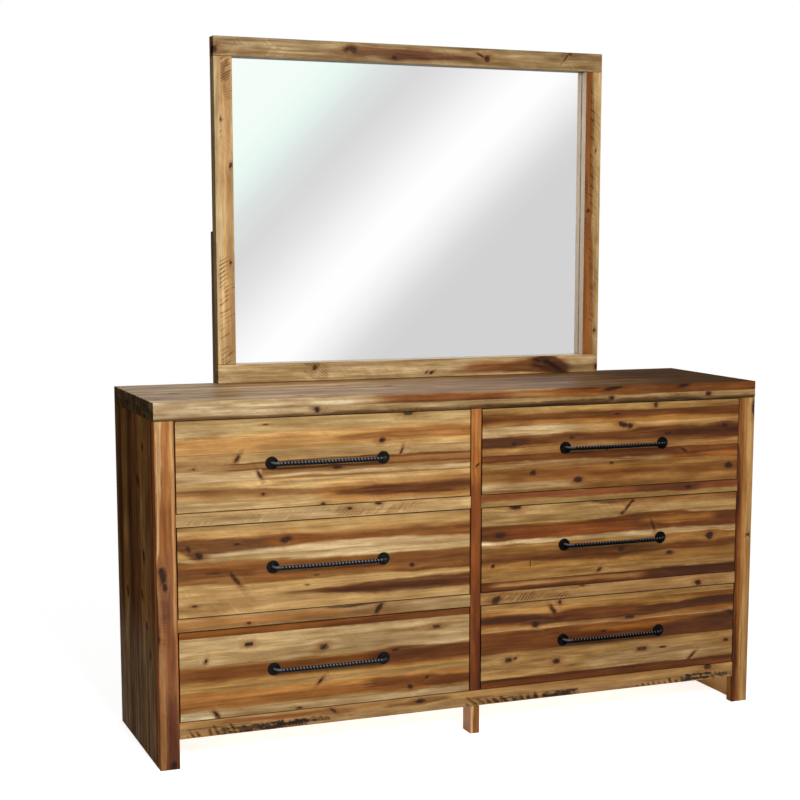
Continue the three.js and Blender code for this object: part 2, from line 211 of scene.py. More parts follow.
def painted(u, v, base, seed, look):
    """Colour, relief and warped v of points on a board whose own colour is base.

    look may hold knots (u, v, long radius, short radius, angle of the long one from the grain), bands
    (colour, strength, soft edge, [(u, low v, high v), ...], fade at the ends), saws (first u, last u, low v, high v,
    pitch, lean, strength, width of a mark), scrapes (first u, last u, low v, high v, strength) and figure, how strong
    the grain is. The last of each may be left out.
    """
    warped, cores, rims, halos, cheeks, rings = knot_masks(u, v, look.get("knots", ()), seed)
    long_streaks = layered(u / 420, warped / 13, seed)
    mid_streaks = layered(u / 150, warped / 4.6, seed + 11)
    fine_streaks = noise(u / 55, warped / 1.9, seed + 23)
    clouds = layered(u / 90, warped / 19, seed + 37)
    warm = step(long_streaks - 0.25, 1.1)[:, None]
    colour = np.tile(linear(base), (len(u), 1)) * (1 - 0.5 * warm * (1 - linear(GOLD) / linear(TAN)))
    edge = 2.2 * layered(u / 85, warped / 40, seed + 5) + 0.8 * noise(u / 16, warped / 6, seed + 6)
    for band in look.get("bands", ()):
        colour = covered(colour, band[0], band_mask(u, warped, band, edge, mid_streaks)[:, None])
    hatch_places = np.clip(0.5 + 0.8 * noise(u / 120, v / 25, seed + 47), 0, 1)
    hatch = noise((u + 0.9 * v) / 2.6, v / 30, seed + 43) * hatch_places
    figure = 0.32 * long_streaks + 0.21 * mid_streaks + 0.17 * fine_streaks + 0.24 * clouds + 0.1 * hatch
    figure -= 0.3 * np.clip(mid_streaks - 0.4, 0, 1) - 0.16 * np.clip(cheeks, 0, 1)
    colour = colour * np.exp(look.get("figure", 1.0) * figure[:, None] * DEEPENING)
    for index, scrape in enumerate(look.get("scrapes", ())):
        colour = covered(colour, SCRAPED, scrape_mask(u, v, scrape, seed, index)[:, None])
    relief = 0.05 * (1 + mid_streaks) + 0.03 * (1 + fine_streaks)
    for index, saw in enumerate(look.get("saws", ())):
        mask = saw_mask(u, v, saw, seed, index)
        colour = colour * np.exp(-SAW_DARKNESS * mask[:, None] * DEEPENING)
        relief += 0.3 * mask
    for mask, strength, paint in ((halos, 0.45, KNOT_HALO), (rims, 0.85, KNOT_RIM), (cores, 1.15, KNOT)):
        mask = np.clip(strength * mask * (1 + 0.2 * rings + 0.25 * mid_streaks), 0, 0.95)[:, None]
        colour = np.minimum(colour, covered(colour, paint, mask))
    relief += 0.2 * cores + 0.1 * halos
    return np.clip(colour, 0.002, 0.95), relief, warped


def strewn(seed, length, width, knots, bands):
    """A look for a board that the photograph doesn't show: a few knots and heartwood bands."""
    draw = np.random.default_rng(seed)
    look = {"knots": [], "bands": []}
    for _ in range(knots):
        size = draw.uniform(4, 9)
        place = draw.uniform(0.04, 0.96) * length, draw.uniform(0.12, 0.88) * width
        look["knots"].append((*place, size * draw.uniform(1, 1.5), size, draw.uniform(-25, 25)))
    for _ in range(bands):
        middle, half = draw.uniform(0.1, 0.9) * width, draw.uniform(0.08, 0.2) * width
        track = []
        for share in np.linspace(0, 1, 5):
            middle += draw.uniform(-0.06, 0.06) * width
            thick = half * draw.uniform(0.5, 1.3)
            track.append((share * length, middle - thick, middle + thick))
        colour = BROWN if draw.random() < 0.5 else UMBER
        look["bands"].append((colour, draw.uniform(0.5, 0.9), draw.uniform(4, 9), track))
    return look


# ---- Boards as closed meshes

DEPTH_SPACING = 3.0  # the least distance between grid lines through a board's thickness
FIBRE_JUMP = 17.0  # moves each board to a place of its own in the shader's noise
FACES_ALONG = 0.7  # a face looks along an axis when this much of its normal does
SHARP = math.radians(48)


def lines(size, spacing, ease):
    """Grid lines along one side of a board: a few round each eased edge, the rest evenly spaced."""
    count = max(1, round((size - 2 * ease) / spacing))
    even = np.linspace(ease, size - ease, count + 1)
    return np.concatenate([[0, 0.3 * ease], even, [size - 0.3 * ease, size]])


def box_grid(grid, coarse):
    """Points and outward faces of a closed box over three lists of grid lines. A coarse side is one face."""
    keep = np.zeros([len(g) for g in grid], bool)
    sides = [(axis, end) for axis in (X, Y, Z) for end in (0, -1)]
    for axis, end in sides:
        if (axis, end) not in coarse:
            keep[(slice(None),) * axis + (end,)] = True
    number = np.cumsum(keep.ravel()).reshape(keep.shape) - 1
    where = np.argwhere(keep)
    points = np.stack([np.asarray(grid[axis])[where[:, axis]] for axis in (X, Y, Z)], 1)
    faces = []
    for axis, end in sides:
        sheet = number.take(end, axis=axis)
        if axis == Y:
            sheet = sheet.T
        if end == 0:
            sheet = sheet.T
        if (axis, end) in coarse:
            faces.append(np.concatenate([sheet[:-1, 0], sheet[-1, :-1], sheet[:0:-1, -1], sheet[0, :0:-1]]).tolist())
        else:
            quads = np.stack([sheet[:-1, :-1], sheet[1:, :-1], sheet[1:, 1:], sheet[:-1, 1:]], -1)
            faces.extend(quads.reshape(-1, 4).tolist())
    return points, faces


def eased(points, size, ease, square):
    """Rounds the box's edges, apart from those of square sides, and gives each point its outward normal."""
    low = np.full(3, float(ease))
    high = size - ease
    for axis, end in square:
        (low if end == 0 else high)[axis] = 0.0 if end == 0 else size[axis]
    core = np.clip(points, low, high)
    away = points - core
    length = np.linalg.norm(away, axis=1)
    reach = np.abs(away).max(axis=1)
    flat = length < 1e-9
    safe = np.where(flat, 1, length)
    rounded = core + away * (reach / safe)[:, None]
    normals = away / safe[:, None]
    return np.where(flat[:, None], points, rounded), normals


def board(low, high, grain, across, base, seed, look, spacing, ease, coarse=(), square=(), shown=0, origin=None,
          tint=None, joint_dirt_and_shade=0.15, fine=None):
    """One board between two corners, painted: points, faces, colours and places along and across the grain.

    shown says which end of its depth axis is its face. coarse sides are one face each, square ones keep sharp edges,
    and fine holds extra grid lines for an axis. u and v are taken from origin, or else from the low corner.
    """
    low, high = np.array(low, float), np.array(high, float)
    size = high - low
    depth = 3 - grain - across
    steps = [0.0, 0.0, 0.0]
    steps[grain], steps[across], steps[depth] = spacing[0], spacing[1], max(DEPTH_SPACING, spacing[1])
    grid = [lines(size[axis], steps[axis], ease) for axis in (X, Y, Z)]
    for axis, places in (fine or {}).items():
        grid[axis] = np.unique(np.round(np.concatenate([grid[axis], np.array(places) - low[axis]]), 3))
    points, faces = box_grid(grid, coarse)
    points, normals = eased(points, size, ease, square)
    world = points + low
    origin = low if origin is None else np.array(origin, float)
    inward = world[:, depth] - low[depth] if shown == 0 else high[depth] - world[:, depth]
    u = world[:, grain] - origin[grain]
    v = world[:, across] - origin[across] + inward * normals[:, across]
    tone, relief, warped = painted(u, v, base, seed, look)
    end_grain = step(np.abs(normals[:, grain]) - 0.75, 0.2)[:, None]
    # Faces across the grain, at the joints and round the board, are darkened: dirt in the joints and painted shade in
    # the gaps.
    rim = step(np.abs(normals[:, across]) - 0.35, 0.3)[:, None]
    tone = tone * (1 - 0.5 * end_grain) * (1 - joint_dirt_and_shade * rim)
    if tint:
        tone = tint(tone, world, normals)
    world = world - normals * relief[:, None]
    fibre = np.stack([u, warped + 0.6 * inward, np.full(len(u), seed * FIBRE_JUMP)], 1)
    return world, faces, tone, fibre


def remainder(node, axis, place, side, colour, seed):
    """What is left of a CAD solid beyond a plane across an axis, closed again."""
    mesh = bmesh.new()
    mesh.from_mesh(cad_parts[node].data)
    bmesh.ops.remove_doubles(mesh, verts=mesh.verts, dist=1e-6)
    at, normal = [0.0] * 3, [0.0] * 3
    at[axis], normal[axis] = place * MM, -float(side)
    everything = mesh.verts[:] + mesh.edges[:] + mesh.faces[:]
    bmesh.ops.bisect_plane(mesh, geom=everything, dist=1e-7, plane_co=at, plane_no=normal, clear_outer=True)
    bmesh.ops.holes_fill(mesh, edges=[e for e in mesh.edges if e.is_boundary], sides=0)
    bmesh.ops.dissolve_limit(mesh, angle_limit=0.01, verts=mesh.verts, edges=mesh.edges)
    mesh.verts.index_update()
    points = np.array([v.co for v in mesh.verts]) / MM
    faces = [[v.index for v in face.verts] for face in mesh.faces]
    mesh.free()
    tone = np.tile(linear(colour), (len(points), 1))
    grain = int(np.argmax(np.ptp(points, axis=0)))
    others = [a for a in (X, Y, Z) if a != grain]
    fibre = np.stack([points[:, grain], points[:, others].sum(axis=1), np.full(len(points), seed * FIBRE_JUMP)], 1)
    return points, faces, tone, fibre


def placed(name, data):
    """A new object in the scene."""
    thing = bpy.data.objects.new(name, data)
    bpy.context.scene.collection.objects.link(thing)
    return thing


def mesh_object(name, parts, material, body, replaces=(), end_material=None):
    """One object of several closed meshes, riding a body. Faces that look along X may have a material of their own."""
    points, faces, tones, fibres, start = [], [], [], [], 0
    for part_points, part_faces, tone, fibre in parts:
        points.append(part_points)
        faces.extend([start + i for i in face] for face in part_faces)
        tones.append(tone)
        fibres.append(fibre)
        start += len(part_points)
    mesh = bpy.data.meshes.new(name)
    mesh.from_pydata((np.concatenate(points) * MM).tolist(), [], faces)
    tone = np.concatenate(tones)
    tone = np.concatenate([tone, np.ones((len(tone), 1))], 1)
    mesh.attributes.new("tone", "FLOAT_COLOR", "POINT").data.foreach_set("color", tone.ravel())
    mesh.attributes.new("fibre", "FLOAT_VECTOR", "POINT").data.foreach_set("vector", np.concatenate(fibres).ravel())
    mesh.polygons.foreach_set("use_smooth", [True] * len(mesh.polygons))
    mesh.set_sharp_from_angle(angle=SHARP)
    mesh.materials.append(material)
    if end_material:
        mesh.materials.append(end_material)
        for polygon in mesh.polygons:
            polygon.material_index = int(abs(polygon.normal.x) > FACES_ALONG)
    piece = placed(name, mesh)
    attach(piece, body)
    if replaces:
        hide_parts(*replaces)


# ---- Materials


class Graph:
    """The node tree of a material or world, with short ways to add nodes. end is the node that set feeds."""

    def __init__(self, owner, output=None):
        """Given a kind of output node, the tree starts with that alone."""
        owner.use_nodes = True
        self.owner = owner
        self.tree = owner.node_tree
        if output:
            self.tree.nodes.clear()
        self.end = self.tree.nodes.new(output) if output else self.tree.nodes["Principled BSDF"]

    def link(self, source, target):
        self.tree.links.new(source, target)

    def feed(self, socket, value):
        if isinstance(value, bpy.types.NodeSocket):
            self.link(value, socket)
        else:
            socket.default_value = value

    def set(self, **inputs):
        for key, value in inputs.items():
            self.feed(self.end.inputs[key.replace("_", " ")], value)

    def node(self, kind, *values, settings=(), **inputs):
        """The outputs of a new node, whose inputs take values in their order, or by name."""
        node = self.tree.nodes.new(kind)
        for key, value in dict(settings).items():
            setattr(node, key, value)
        for socket, value in zip(node.inputs, values):
            self.feed(socket, value)
        for key, value in inputs.items():
            self.feed(node.inputs[key.replace("_", " ")], value)
        return node.outputs

    def place(self):
        return self.node("ShaderNodeTexCoord")["Object"]

    def attribute(self, name, output):
        return self.node("ShaderNodeAttribute", settings={"attribute_name": name})[output]

    def math(self, operation, *values, clamp=False):
        return self.node("ShaderNodeMath", *values, settings={"operation": operation, "use_clamp": clamp})[0]

    def noise(self, vector, scale, detail, roughness=0.5):
        """Noise from about 0 to 1, stretched by a scale along each axis."""
        place = self.node("ShaderNodeVectorMath", vector, scale, settings={"operation": "MULTIPLY"})[0]
        return self.node("ShaderNodeTexNoise", Vector=place, Scale=1.0, Detail=detail, Roughness=roughness)["Fac"]

    def spread(self, value, low, high, out_low, out_high):
        """The value's range from low to high moved to another one."""
        return self.node("ShaderNodeMapRange", value, low, high, out_low, out_high)["Result"]

    def dimmed(self, colour, factor):
        """The colour times a factor."""
        return self.node("ShaderNodeVectorMath", colour, settings={"operation": "SCALE"}, Scale=factor)[0]

    def along(self, vector, direction, scale=1.0, offset=0.0):
        """How far the vector reaches in a direction, scaled, moved and kept from 0 to 1."""
        dot = self.node("ShaderNodeVectorMath", vector, direction, settings={"operation": "DOT_PRODUCT"})["Value"]
        return self.math("MULTIPLY_ADD", dot, scale, offset, clamp=True)

    def ramp(self, value, stops):
        colour = self.node("ShaderNodeValToRGB", value)["Color"]
        elements = colour.node.color_ramp.elements
        while len(elements) < len(stops):
            elements.new(0.5)
        for element, (place, paint) in zip(elements, stops):
            element.position = place
            element.color = (*linear(paint), 1)
        return colour

    def bump(self, height, distance, strength=0.6):
        self.set(Normal=self.node("ShaderNodeBump", Strength=strength, Distance=distance, Height=height)["Normal"])


def lacquered_wood(name, roughness, shine):
    """The painted tone under fibres and pores that follow the board's own warped grain."""
    g = Graph(bpy.data.materials.new(name))
    fibre = g.attribute("fibre", "Vector")
    fibres = g.noise(fibre, (0.012, 0.95, 1.0), 4.0, 0.6)
    pores = g.noise(fibre, (0.055, 2.3, 1.0), 2.0)
    dashes = g.noise(fibre, (0.03, 0.42, 1.0), 3.0, 0.6)
    pore_dark = g.spread(pores, 0.62, 0.72, 0.0, 1.0)
    factor = g.math("MULTIPLY", g.spread(fibres, 0.25, 0.75, 0.8, 1.17), g.spread(dashes, 0.54, 0.72, 1.03, 0.74))
    factor = g.math("MULTIPLY", factor, g.spread(pore_dark, 0.0, 1.0, 1.0, 0.66))
    g.set(Base_Color=g.dimmed(g.attribute("tone", "Color"), factor), Specular_IOR_Level=shine)
    g.set(Roughness=g.spread(fibres, 0.2, 0.8, roughness - 0.05, roughness + 0.1))
    g.bump(g.math("SUBTRACT", g.math("MULTIPLY", fibres, 0.5), g.math("MULTIPLY", pore_dark, 0.6)), 0.00025)
    return g.owner


def plain_wood(name, grain, pale, dark, roughness):
    """Wood for the pieces that keep their CAD shape, its grain along one axis."""
    def stretched(across, along):
        return [along if axis == grain else across for axis in (X, Y, Z)]

    g = Graph(bpy.data.materials.new(name))
    place = g.place()
    figure = g.noise(place, stretched(34.0, 1.4), 3.0, 0.6)
    fibres = g.noise(place, stretched(900.0, 14.0), 3.0, 0.6)
    pores = g.spread(g.noise(place, stretched(1900.0, 60.0), 1.0), 0.64, 0.74, 0.0, 1.0)
    between = tuple((a + b) // 2 for a, b in zip(pale, dark))
    colour = g.ramp(figure, [(0.3, pale), (0.52, between), (0.7, dark)])
    factor = g.math("MULTIPLY", g.spread(fibres, 0.25, 0.75, 0.86, 1.12), g.spread(pores, 0.0, 1.0, 1.0, 0.74))
    g.set(Base_Color=g.dimmed(colour, factor), Roughness=g.spread(fibres, 0.2, 0.8, roughness, roughness + 0.12))
    g.bump(fibres, 0.0002)
    return g.owner


def iron(name, shine, metal):
    """Black wrought iron, rougher in its hollows; its painted highlights and bluish sheen on the ridges come from the
    tone it is given.
    """
    g = Graph(bpy.data.materials.new(name))
    place = g.place()
    mottle = g.noise(place, (420.0, 420.0, 420.0), 3.0)
    pits = g.noise(place, (1500.0, 1500.0, 1500.0), 2.0)
    tone = g.dimmed(g.attribute("tone", "Color"), g.spread(mottle, 0.3, 0.7, 0.75, 1.3))
    g.set(Base_Color=tone, Metallic=metal, Specular_IOR_Level=shine, Roughness=g.spread(mottle, 0.3, 0.7, 0.3, 0.46))
    g.bump(g.math("ADD", mottle, g.math("MULTIPLY", pits, 0.5)), 0.0002, 0.5)
    return g.owner


def silvered(name):
    g = Graph(bpy.data.materials.new(name))
    ripple = g.noise(g.place(), (3.0, 3.0, 3.0), 2.0)
    g.set(Base_Color=(0.98, 0.982, 0.98, 1), Metallic=1.0, Roughness=g.spread(ripple, 0.3, 0.7, 0.008, 0.02))
    return g.owner


def screw_steel(name):
    g = Graph(bpy.data.materials.new(name))
    spots = g.noise(g.place(), (900.0, 900.0, 900.0), 3.0)
    g.set(Base_Color=g.ramp(spots, [(0.3, (150, 138, 104)), (0.7, (196, 184, 142))]), Metallic=0.9)
    g.set(Roughness=g.spread(spots, 0.3, 0.7, 0.28, 0.42))
    return g.owner


WOOD = lacquered_wood("acacia_lacquered", 0.46, 0.12)
TOP_WOOD = lacquered_wood("acacia_top", 0.46, 0.08)
SIDE_WOOD = lacquered_wood("acacia_side", 0.85, 0.01)
# The right column's iron is a shaded copy: the same iron with less shine, for the weaker light there.
IRONS = {"left": iron("black_iron", 0.06, 0.12), "right": iron("black_iron_shaded_copy", 0.005, 0.02)}
STEEL = screw_steel("zinc_screws")
BOX_SIDE = plain_wood("drawer_side_pine", Y, (214, 184, 138), (176, 136, 88), 0.5)
BOX_BACK = plain_wood("drawer_back_pine", X, (214, 184, 138), (174, 134, 86), 0.5)
BOX_BOTTOM = plain_wood("drawer_bottom_ply", X, (206, 178, 134), (178, 144, 98), 0.55)
PANEL = plain_wood("back_ply", X, (176, 142, 98), (132, 98, 60), 0.6)
UPRIGHT = plain_wood("partition_wood", Z, (178, 140, 94), (130, 92, 52), 0.6)
MIRROR = silvered("silvered_glass")

# ---- The drawer fronts: rows of boards from the top down (low z, then the last x and colour of each board), bands,
# knots and saw marks

END = 775.25  # the width of a front
FRONT_HEIGHT = 224.6
FRONTS = {
    "top_left": {
        "boards": [(140.6, (END, (180, 148, 96))),
                   (113.6, (158, (168, 130, 82)), (588, (183, 146, 94)), (END, (168, 132, 86))),
                   (99.5, (END, (160, 118, 68))),
                   (72, (215, (195, 163, 117)), (END, (145, 106, 60))),
                   (0, (END, (190, 152, 96)))],
        "bands": [
            ((186, 132, 70), 0.75, 10, [(0, 148, 178), (130, 148, 178), (300, 150, 186), (500, 152, 188),
                                        (775, 160, 192)]),
            (BROWN, 0.75, 8, [(440, 165, 170), (560, 160, 182), (680, 163, 186), (775, 166, 184)]),
            (SAWN, 0.7, 8, [(0, 184, 207), (60, 187, 205), (125, 192, 199)]),
            (UMBER, 0.9, 2, [(150, 94.5, 100), (350, 93, 100), (480, 94, 100), (775, 96, 100)]),
            (UMBER, 0.8, 2, [(160, 113, 117), (400, 113, 119), (560, 113, 121), (775, 113, 119)]),
            (BROWN, 0.6, 4, [(520, 100, 114), (775, 100, 114)]),
            (BROWN, 0.75, 6, [(0, 37, 53), (170, 38, 52), (260, 35, 46), (420, 30, 40)]),
            (ORANGE, 0.7, 12, [(400, 12, 46), (560, 8, 48), (775, 8, 50)]),
            (UMBER, 0.85, 6, [(430, 24, 34), (520, 18, 40), (650, 16, 41), (775, 22, 42)]),
            ((120, 102, 74), 0.7, 2, [(280, 61, 65), (340, 60, 66), (410, 63, 66)]),
            (PALE, 0.8, 3, [(0, 3, 21), (150, 4, 21), (320, 6, 16)]),
            (PALE, 0.5, 3, [(250, 78, 84), (500, 78, 87), (775, 76, 87)])],
        "knots": [(531, 157, 9, 7, 20), (602, 223, 15, 6), (153, 127, 11, 4, 55), (584, 126, 10, 3, 70),
                  (44, 107, 4, 2), (208, 86, 13, 4, 118), (410, 93, 14, 4), (218, 36, 6, 4), (374, 2, 7, 5),
                  (225, 209, 8, 2)],
        "saws": [(0, 110, 178, 210, 5, 1.4, 0.16)]},
    "middle_left": {
        "boards": [(145.6, (END, (176, 141, 88))), (68.5, (END, (186, 150, 92))), (0, (END, (187, 149, 94)))],
        "bands": [
            (ORANGE, 0.5, 14, [(0, 160, 200), (200, 160, 198), (500, 160, 192), (775, 160, 196)]),
            (UMBER, 0.9, 6, [(0, 170, 192), (40, 148, 191), (62, 147, 190), (125, 155, 189), (200, 160, 188),
                             (260, 164, 187), (330, 172, 187)]),
            (BROWN, 0.85, 7, [(260, 168, 188), (450, 172, 185), (620, 169, 187), (700, 165, 188), (775, 165, 187)]),
            ((58, 36, 24), 0.85, 1.6, [(58, 148, 151), (125, 154, 157), (200, 160, 162), (265, 164, 166)]),
            (PALE, 0.7, 5, [(100, 148, 153), (300, 148, 164), (500, 148, 166), (775, 148, 158)]),
            (PALE, 0.6, 4, [(0, 138, 144), (400, 130, 143), (775, 128, 142)]),
            (BROWN, 0.9, 6, [(0, 80, 136), (100, 80, 132), (230, 80, 129), (380, 78, 124), (540, 80, 124),
                             (660, 76, 124), (775, 78, 122)]),
            (UMBER, 0.75, 5, [(580, 96, 101), (640, 95, 104), (700, 92, 108), (775, 92, 108)]),
            (UMBER, 0.6, 6, [(0, 100, 122), (90, 98, 116), (170, 92, 106)]),
            (UMBER, 0.95, 6, [(300, 39, 43), (425, 33, 49), (500, 27, 54), (650, 24, 56), (775, 27, 57)]),
            (DARK, 0.7, 5, [(420, 38, 44), (520, 33, 46), (640, 30, 46), (700, 34, 44)])],
        "knots": [(27, 171, 10, 5, 120), (53, 153, 12, 8, 150), (148, 176, 9, 3), (275, 179, 17, 8, 10),
                  (95, 107, 26, 2), (145, 87, 22, 5, 128), (355, 83, 8, 2), (613, 90, 7, 6), (760, 91, 3, 2),
                  (42, 28, 8, 3), (331, 60, 5, 2)],
        "saws": [(0, 190, 6, 60, 7, 0.9, 0.2), (300, 520, 110, 130, 6, 0.8, 0.14)]},
    "bottom_left": {
        "boards": [(207.7, (END, (128, 75, 28))), (133, (END, (190, 158, 108))), (78.6, (END, (178, 135, 75))),
                   (18, (END, (162, 127, 76))), (0, (88, (194, 173, 134)), (END, (172, 143, 99)))],
        "bands": [
            (UMBER, 0.7, 5, [(400, 208, 216), (520, 208, 220), (775, 208, 225)]),
            (SAWN, 0.6, 9, [(300, 150, 175), (480, 148, 186), (620, 150, 180), (775, 150, 172)]),
            (BROWN, 0.5, 5, [(560, 178, 184), (650, 178, 185), (700, 180, 184)]),
            (BROWN, 0.95, 8, [(0, 98, 131), (200, 96, 131), (400, 96, 130), (560, 94, 131), (775, 92, 131)]),
            (UMBER, 0.85, 8, [(520, 104, 130), (600, 98, 131), (775, 98, 131)]),
            (ORANGE, 0.9, 6, [(0, 30, 66), (250, 30, 64), (500, 28, 64), (775, 26, 62)]),
            (BROWN, 0.75, 7, [(0, 28, 40), (200, 28, 44), (420, 28, 46), (775, 26, 44)]),
            (UMBER, 0.8, 4, [(520, 40, 60), (620, 32, 58), (700, 26, 50), (775, 30, 46)])],
        "knots": [(176, 182, 10, 6), (66, 149, 6, 4, 70), (372, 157, 11, 8, 20), (681, 182, 9, 5), (567, 130, 10, 4),
                  (362, 68, 13, 4, 48), (655, 49, 7, 4, 30), (608, 28.6, 9, 7, 150), (490, 47, 20, 1.2),
                  (93, 8, 12, 5, 128), (307, 4, 9, 3)],
        "saws": [(0, 88, 0, 17, 6, 0.5, 0.15)]},
    # The right column's fronts, from here on: their board colours are darker than the wood's own, with painted shade
    # for the light falling off towards the right.
    "top_right": {
        "boards": [(205.5, (END, (161, 122, 69))), (176, (END, (151, 101, 42))), (99.6, (END, (153, 109, 60))),
                   (69.6, (END, (138, 81, 32))), (0, (END, (142, 99, 49)))],
        "bands": [
            (UMBER, 0.9, 6, [(0, 186, 205), (150, 192, 205), (350, 190, 205), (420, 184, 205), (560, 190, 205),
                             (775, 184, 205)]),
            (PALE, 0.7, 8, [(0, 154, 172), (100, 154, 174), (260, 156, 172), (330, 160, 170)]),
            ((56, 36, 22), 0.8, 1.6, [(60, 176, 178), (110, 176, 178.5), (170, 177, 178)]),
            (PALE, 0.5, 8, [(0, 4, 24), (120, 6, 24), (250, 8, 20)]),
            (GOLD, 0.6, 8, [(300, 156, 174), (500, 156, 174), (775, 160, 174)]),
            (UMBER, 0.9, 9, [(0, 124, 146), (110, 124, 144), (210, 128, 146), (380, 130, 152), (460, 126, 160),
                             (600, 122, 156), (775, 126, 158)]),
            (DARK, 0.85, 7, [(0, 126, 142), (60, 126, 142), (120, 130, 138)]),
            (DARK, 0.6, 7, [(600, 134, 154), (700, 134, 158), (775, 136, 154)]),
            (UMBER, 0.9, 4, [(0, 84, 99), (250, 82, 99), (450, 84, 99), (620, 80, 99), (775, 84, 99)]),
            (TAN, 0.7, 4, [(0, 70, 79), (300, 70, 80), (520, 70, 78)]),
            (BROWN, 0.8, 9, [(100, 30, 54), (200, 28, 54), (330, 30, 52), (460, 32, 46), (520, 36, 44)]),
            (BROWN, 0.6, 9, [(600, 26, 44), (700, 26, 50), (775, 26, 56)])],
        "knots": [(513, 216, 7, 8), (395, 197, 11, 3), (89, 129, 8, 6, 20), (259, 139, 9, 5), (413, 167, 15, 7, 160),
                  (434, 163, 8, 7), (552, 138, 13, 5), (731, 152, 9, 7), (603, 90, 12, 4, 150), (363, 103, 5, 3),
                  (147, 49.6, 9, 7), (281, 25, 13, 8), (381, 65, 6, 3), (748, 40, 13, 8)],
        "figure": 1.3},
    "middle_right": {
        "boards": [(185.6, (END, (161, 127, 77))), (175.2, (END, (154, 120, 71))), (120.6, (END, (139, 92, 34))),
                   (49.6, (END, (139, 97, 46))), (24.6, (END, (146, 107, 58))), (0, (END, (88, 44, 15)))],
        "bands": [
            (DARK, 0.85, 4, [(335, 221, 226), (380, 216, 226), (430, 218, 226)]),
            (BROWN, 0.7, 6, [(430, 212, 226), (600, 214, 226), (775, 208, 226)]),
            (UMBER, 0.97, 4, [(0, 138, 174), (100, 137, 171), (200, 137, 168), (300, 138, 171), (375, 139, 178),
                              (450, 139, 184), (600, 137, 182), (680, 136, 173), (775, 137, 173)]),
            ((128, 66, 24), 0.6, 9, [(120, 142, 162), (300, 142, 164), (420, 144, 166)]),
            (ORANGE, 0.85, 7, [(500, 158, 166), (570, 152, 172), (630, 158, 168), (680, 160, 166)]),
            (PALE, 0.55, 4, [(0, 123, 134), (300, 123, 133), (500, 123, 136), (775, 123, 131)]),
            (UMBER, 0.85, 7, [(0, 76, 94), (120, 78, 92), (200, 73, 92), (400, 64, 93), (450, 80, 93), (560, 78, 92),
                              (680, 76, 94), (775, 78, 96)]),
            (DARK, 0.8, 5, [(520, 2, 24), (620, 4, 25), (775, 4, 25)]),
            (GOLD, 0.4, 4, [(70, 10, 20), (200, 10, 21), (450, 10, 20)])],
        "knots": [(433, 204, 21, 3.5, 48), (448, 219, 6, 5), (416, 188, 7, 4, 40), (97, 223, 19, 7), (53, 149, 15, 9),
                  (512, 147, 16, 4, 112), (415, 88, 11, 7), (33, 69, 5, 4, 60), (141, 69, 9, 1.5, 92),
                  (567, 68, 10, 6), (692, 107, 12, 10, 60), (348, 36, 9, 5, 40), (578, 19, 9, 4)],
        "saws": [(200, 420, 64, 92, 9, 0.9, 0.16)], "figure": 1.3},
    "bottom_right": {
        "boards": [(209.6, (END, (152, 114, 62))), (148.6, (END, (144, 92, 40))), (93.6, (END, (136, 82, 32))),
                   (20.6, (END, (160, 122, 71))), (0, (END, (108, 57, 20)))],
        "bands": [
            (UMBER, 0.9, 8, [(0, 172, 190), (100, 168, 192), (200, 164, 194), (330, 162, 194), (500, 162, 186),
                             (640, 170, 186), (775, 170, 194)]),
            (DARK, 0.9, 7, [(20, 172, 188), (90, 170, 188), (170, 168, 184), (220, 168, 176)]),
            (DARK, 0.85, 5, [(500, 172, 182), (620, 174, 190), (775, 174, 197)]),
            ((66, 38, 22), 0.8, 2, [(160, 162, 166), (330, 161, 164), (500, 161, 164), (620, 168, 171)]),
            (GOLD, 0.7, 5, [(0, 198, 208), (300, 197, 208), (520, 192, 208), (620, 196, 208)]),
            ((180, 142, 90), 0.5, 4, [(0, 150, 159), (300, 150, 158), (775, 150, 156)]),
            (UMBER, 0.9, 10, [(0, 98, 134), (140, 98, 140), (300, 96, 128), (500, 96, 120), (640, 96, 136),
                              (775, 96, 144)]),
            (DARK, 0.7, 8, [(560, 100, 126), (660, 100, 138), (775, 98, 140)]),
            (SAWN, 0.6, 9, [(350, 30, 60), (520, 28, 66), (700, 30, 58)]),
            (DARK, 0.7, 4, [(0, 15, 21), (300, 15, 21), (560, 15, 21), (775, 12, 21)])],
        "knots": [(231, 217, 6, 6), (211, 197, 15, 5, 125), (159, 163, 9, 9, 80), (445, 158, 13, 5), (365, 124, 9, 4),
                  (768, 143, 12, 5, 150), (81, 71, 10, 7), (100, 74, 6, 4, 30), (223, 54, 10, 8), (478, 64, 9, 6),
                  (492, 64, 8, 6), (754, 65, 9, 5), (643, 30, 14, 4, 40), (552, 63, 12, 3)],
        "figure": 1.3},
}

LAYER = 8.0  # how thick the boards are ahead of what is left of the CAD solid
JOINT_EASE = 0.4
LEFT, RIGHT, BACK, UNDER = (X, 0), (X, -1), (Y, -1), (Z, 0)  # sides of a box


def front_boards(rows):
    """First x, last x, low z, high z and colour of each board of a front."""
    high = FRONT_HEIGHT
    for low, *boards in rows:
        first = 0
        for last, colour in boards:
            yield first, last, low, high, colour
            first = last
        high = low


def drawer_front(level, column):
    look = FRONTS[f"{level}_{column}"]
    node = f"{level}_{column}_drawer_front"
    low, _ = node_box(node)
    back = low[Y] + LAYER
    parts = []
    for index, (x0, x1, z0, z1, colour) in enumerate(front_boards(look["boards"])):
        parts.append(board((low[X] + x0, low[Y], low[Z] + z0), (low[X] + x1, back, low[Z] + z1), X, Z, colour,
                           seed_of(node) + index * 7, look, spacing=(3.2, 2.0), ease=JOINT_EASE, coarse=(BACK,),
                           origin=low, joint_dirt_and_shade=0.3))
    parts.append(remainder(node, Y, back, 1, FRONT_BACK, seed_of(node)))
    mesh_object(f"{level}_{column}_front_boards", parts, WOOD, f"{level}_{column}_drawer", [node])


for level, column in DRAWERS:
    drawer_front(level, column)

# ---- The face frame. u is the height on an upright, and x from the case's left end on a rail.

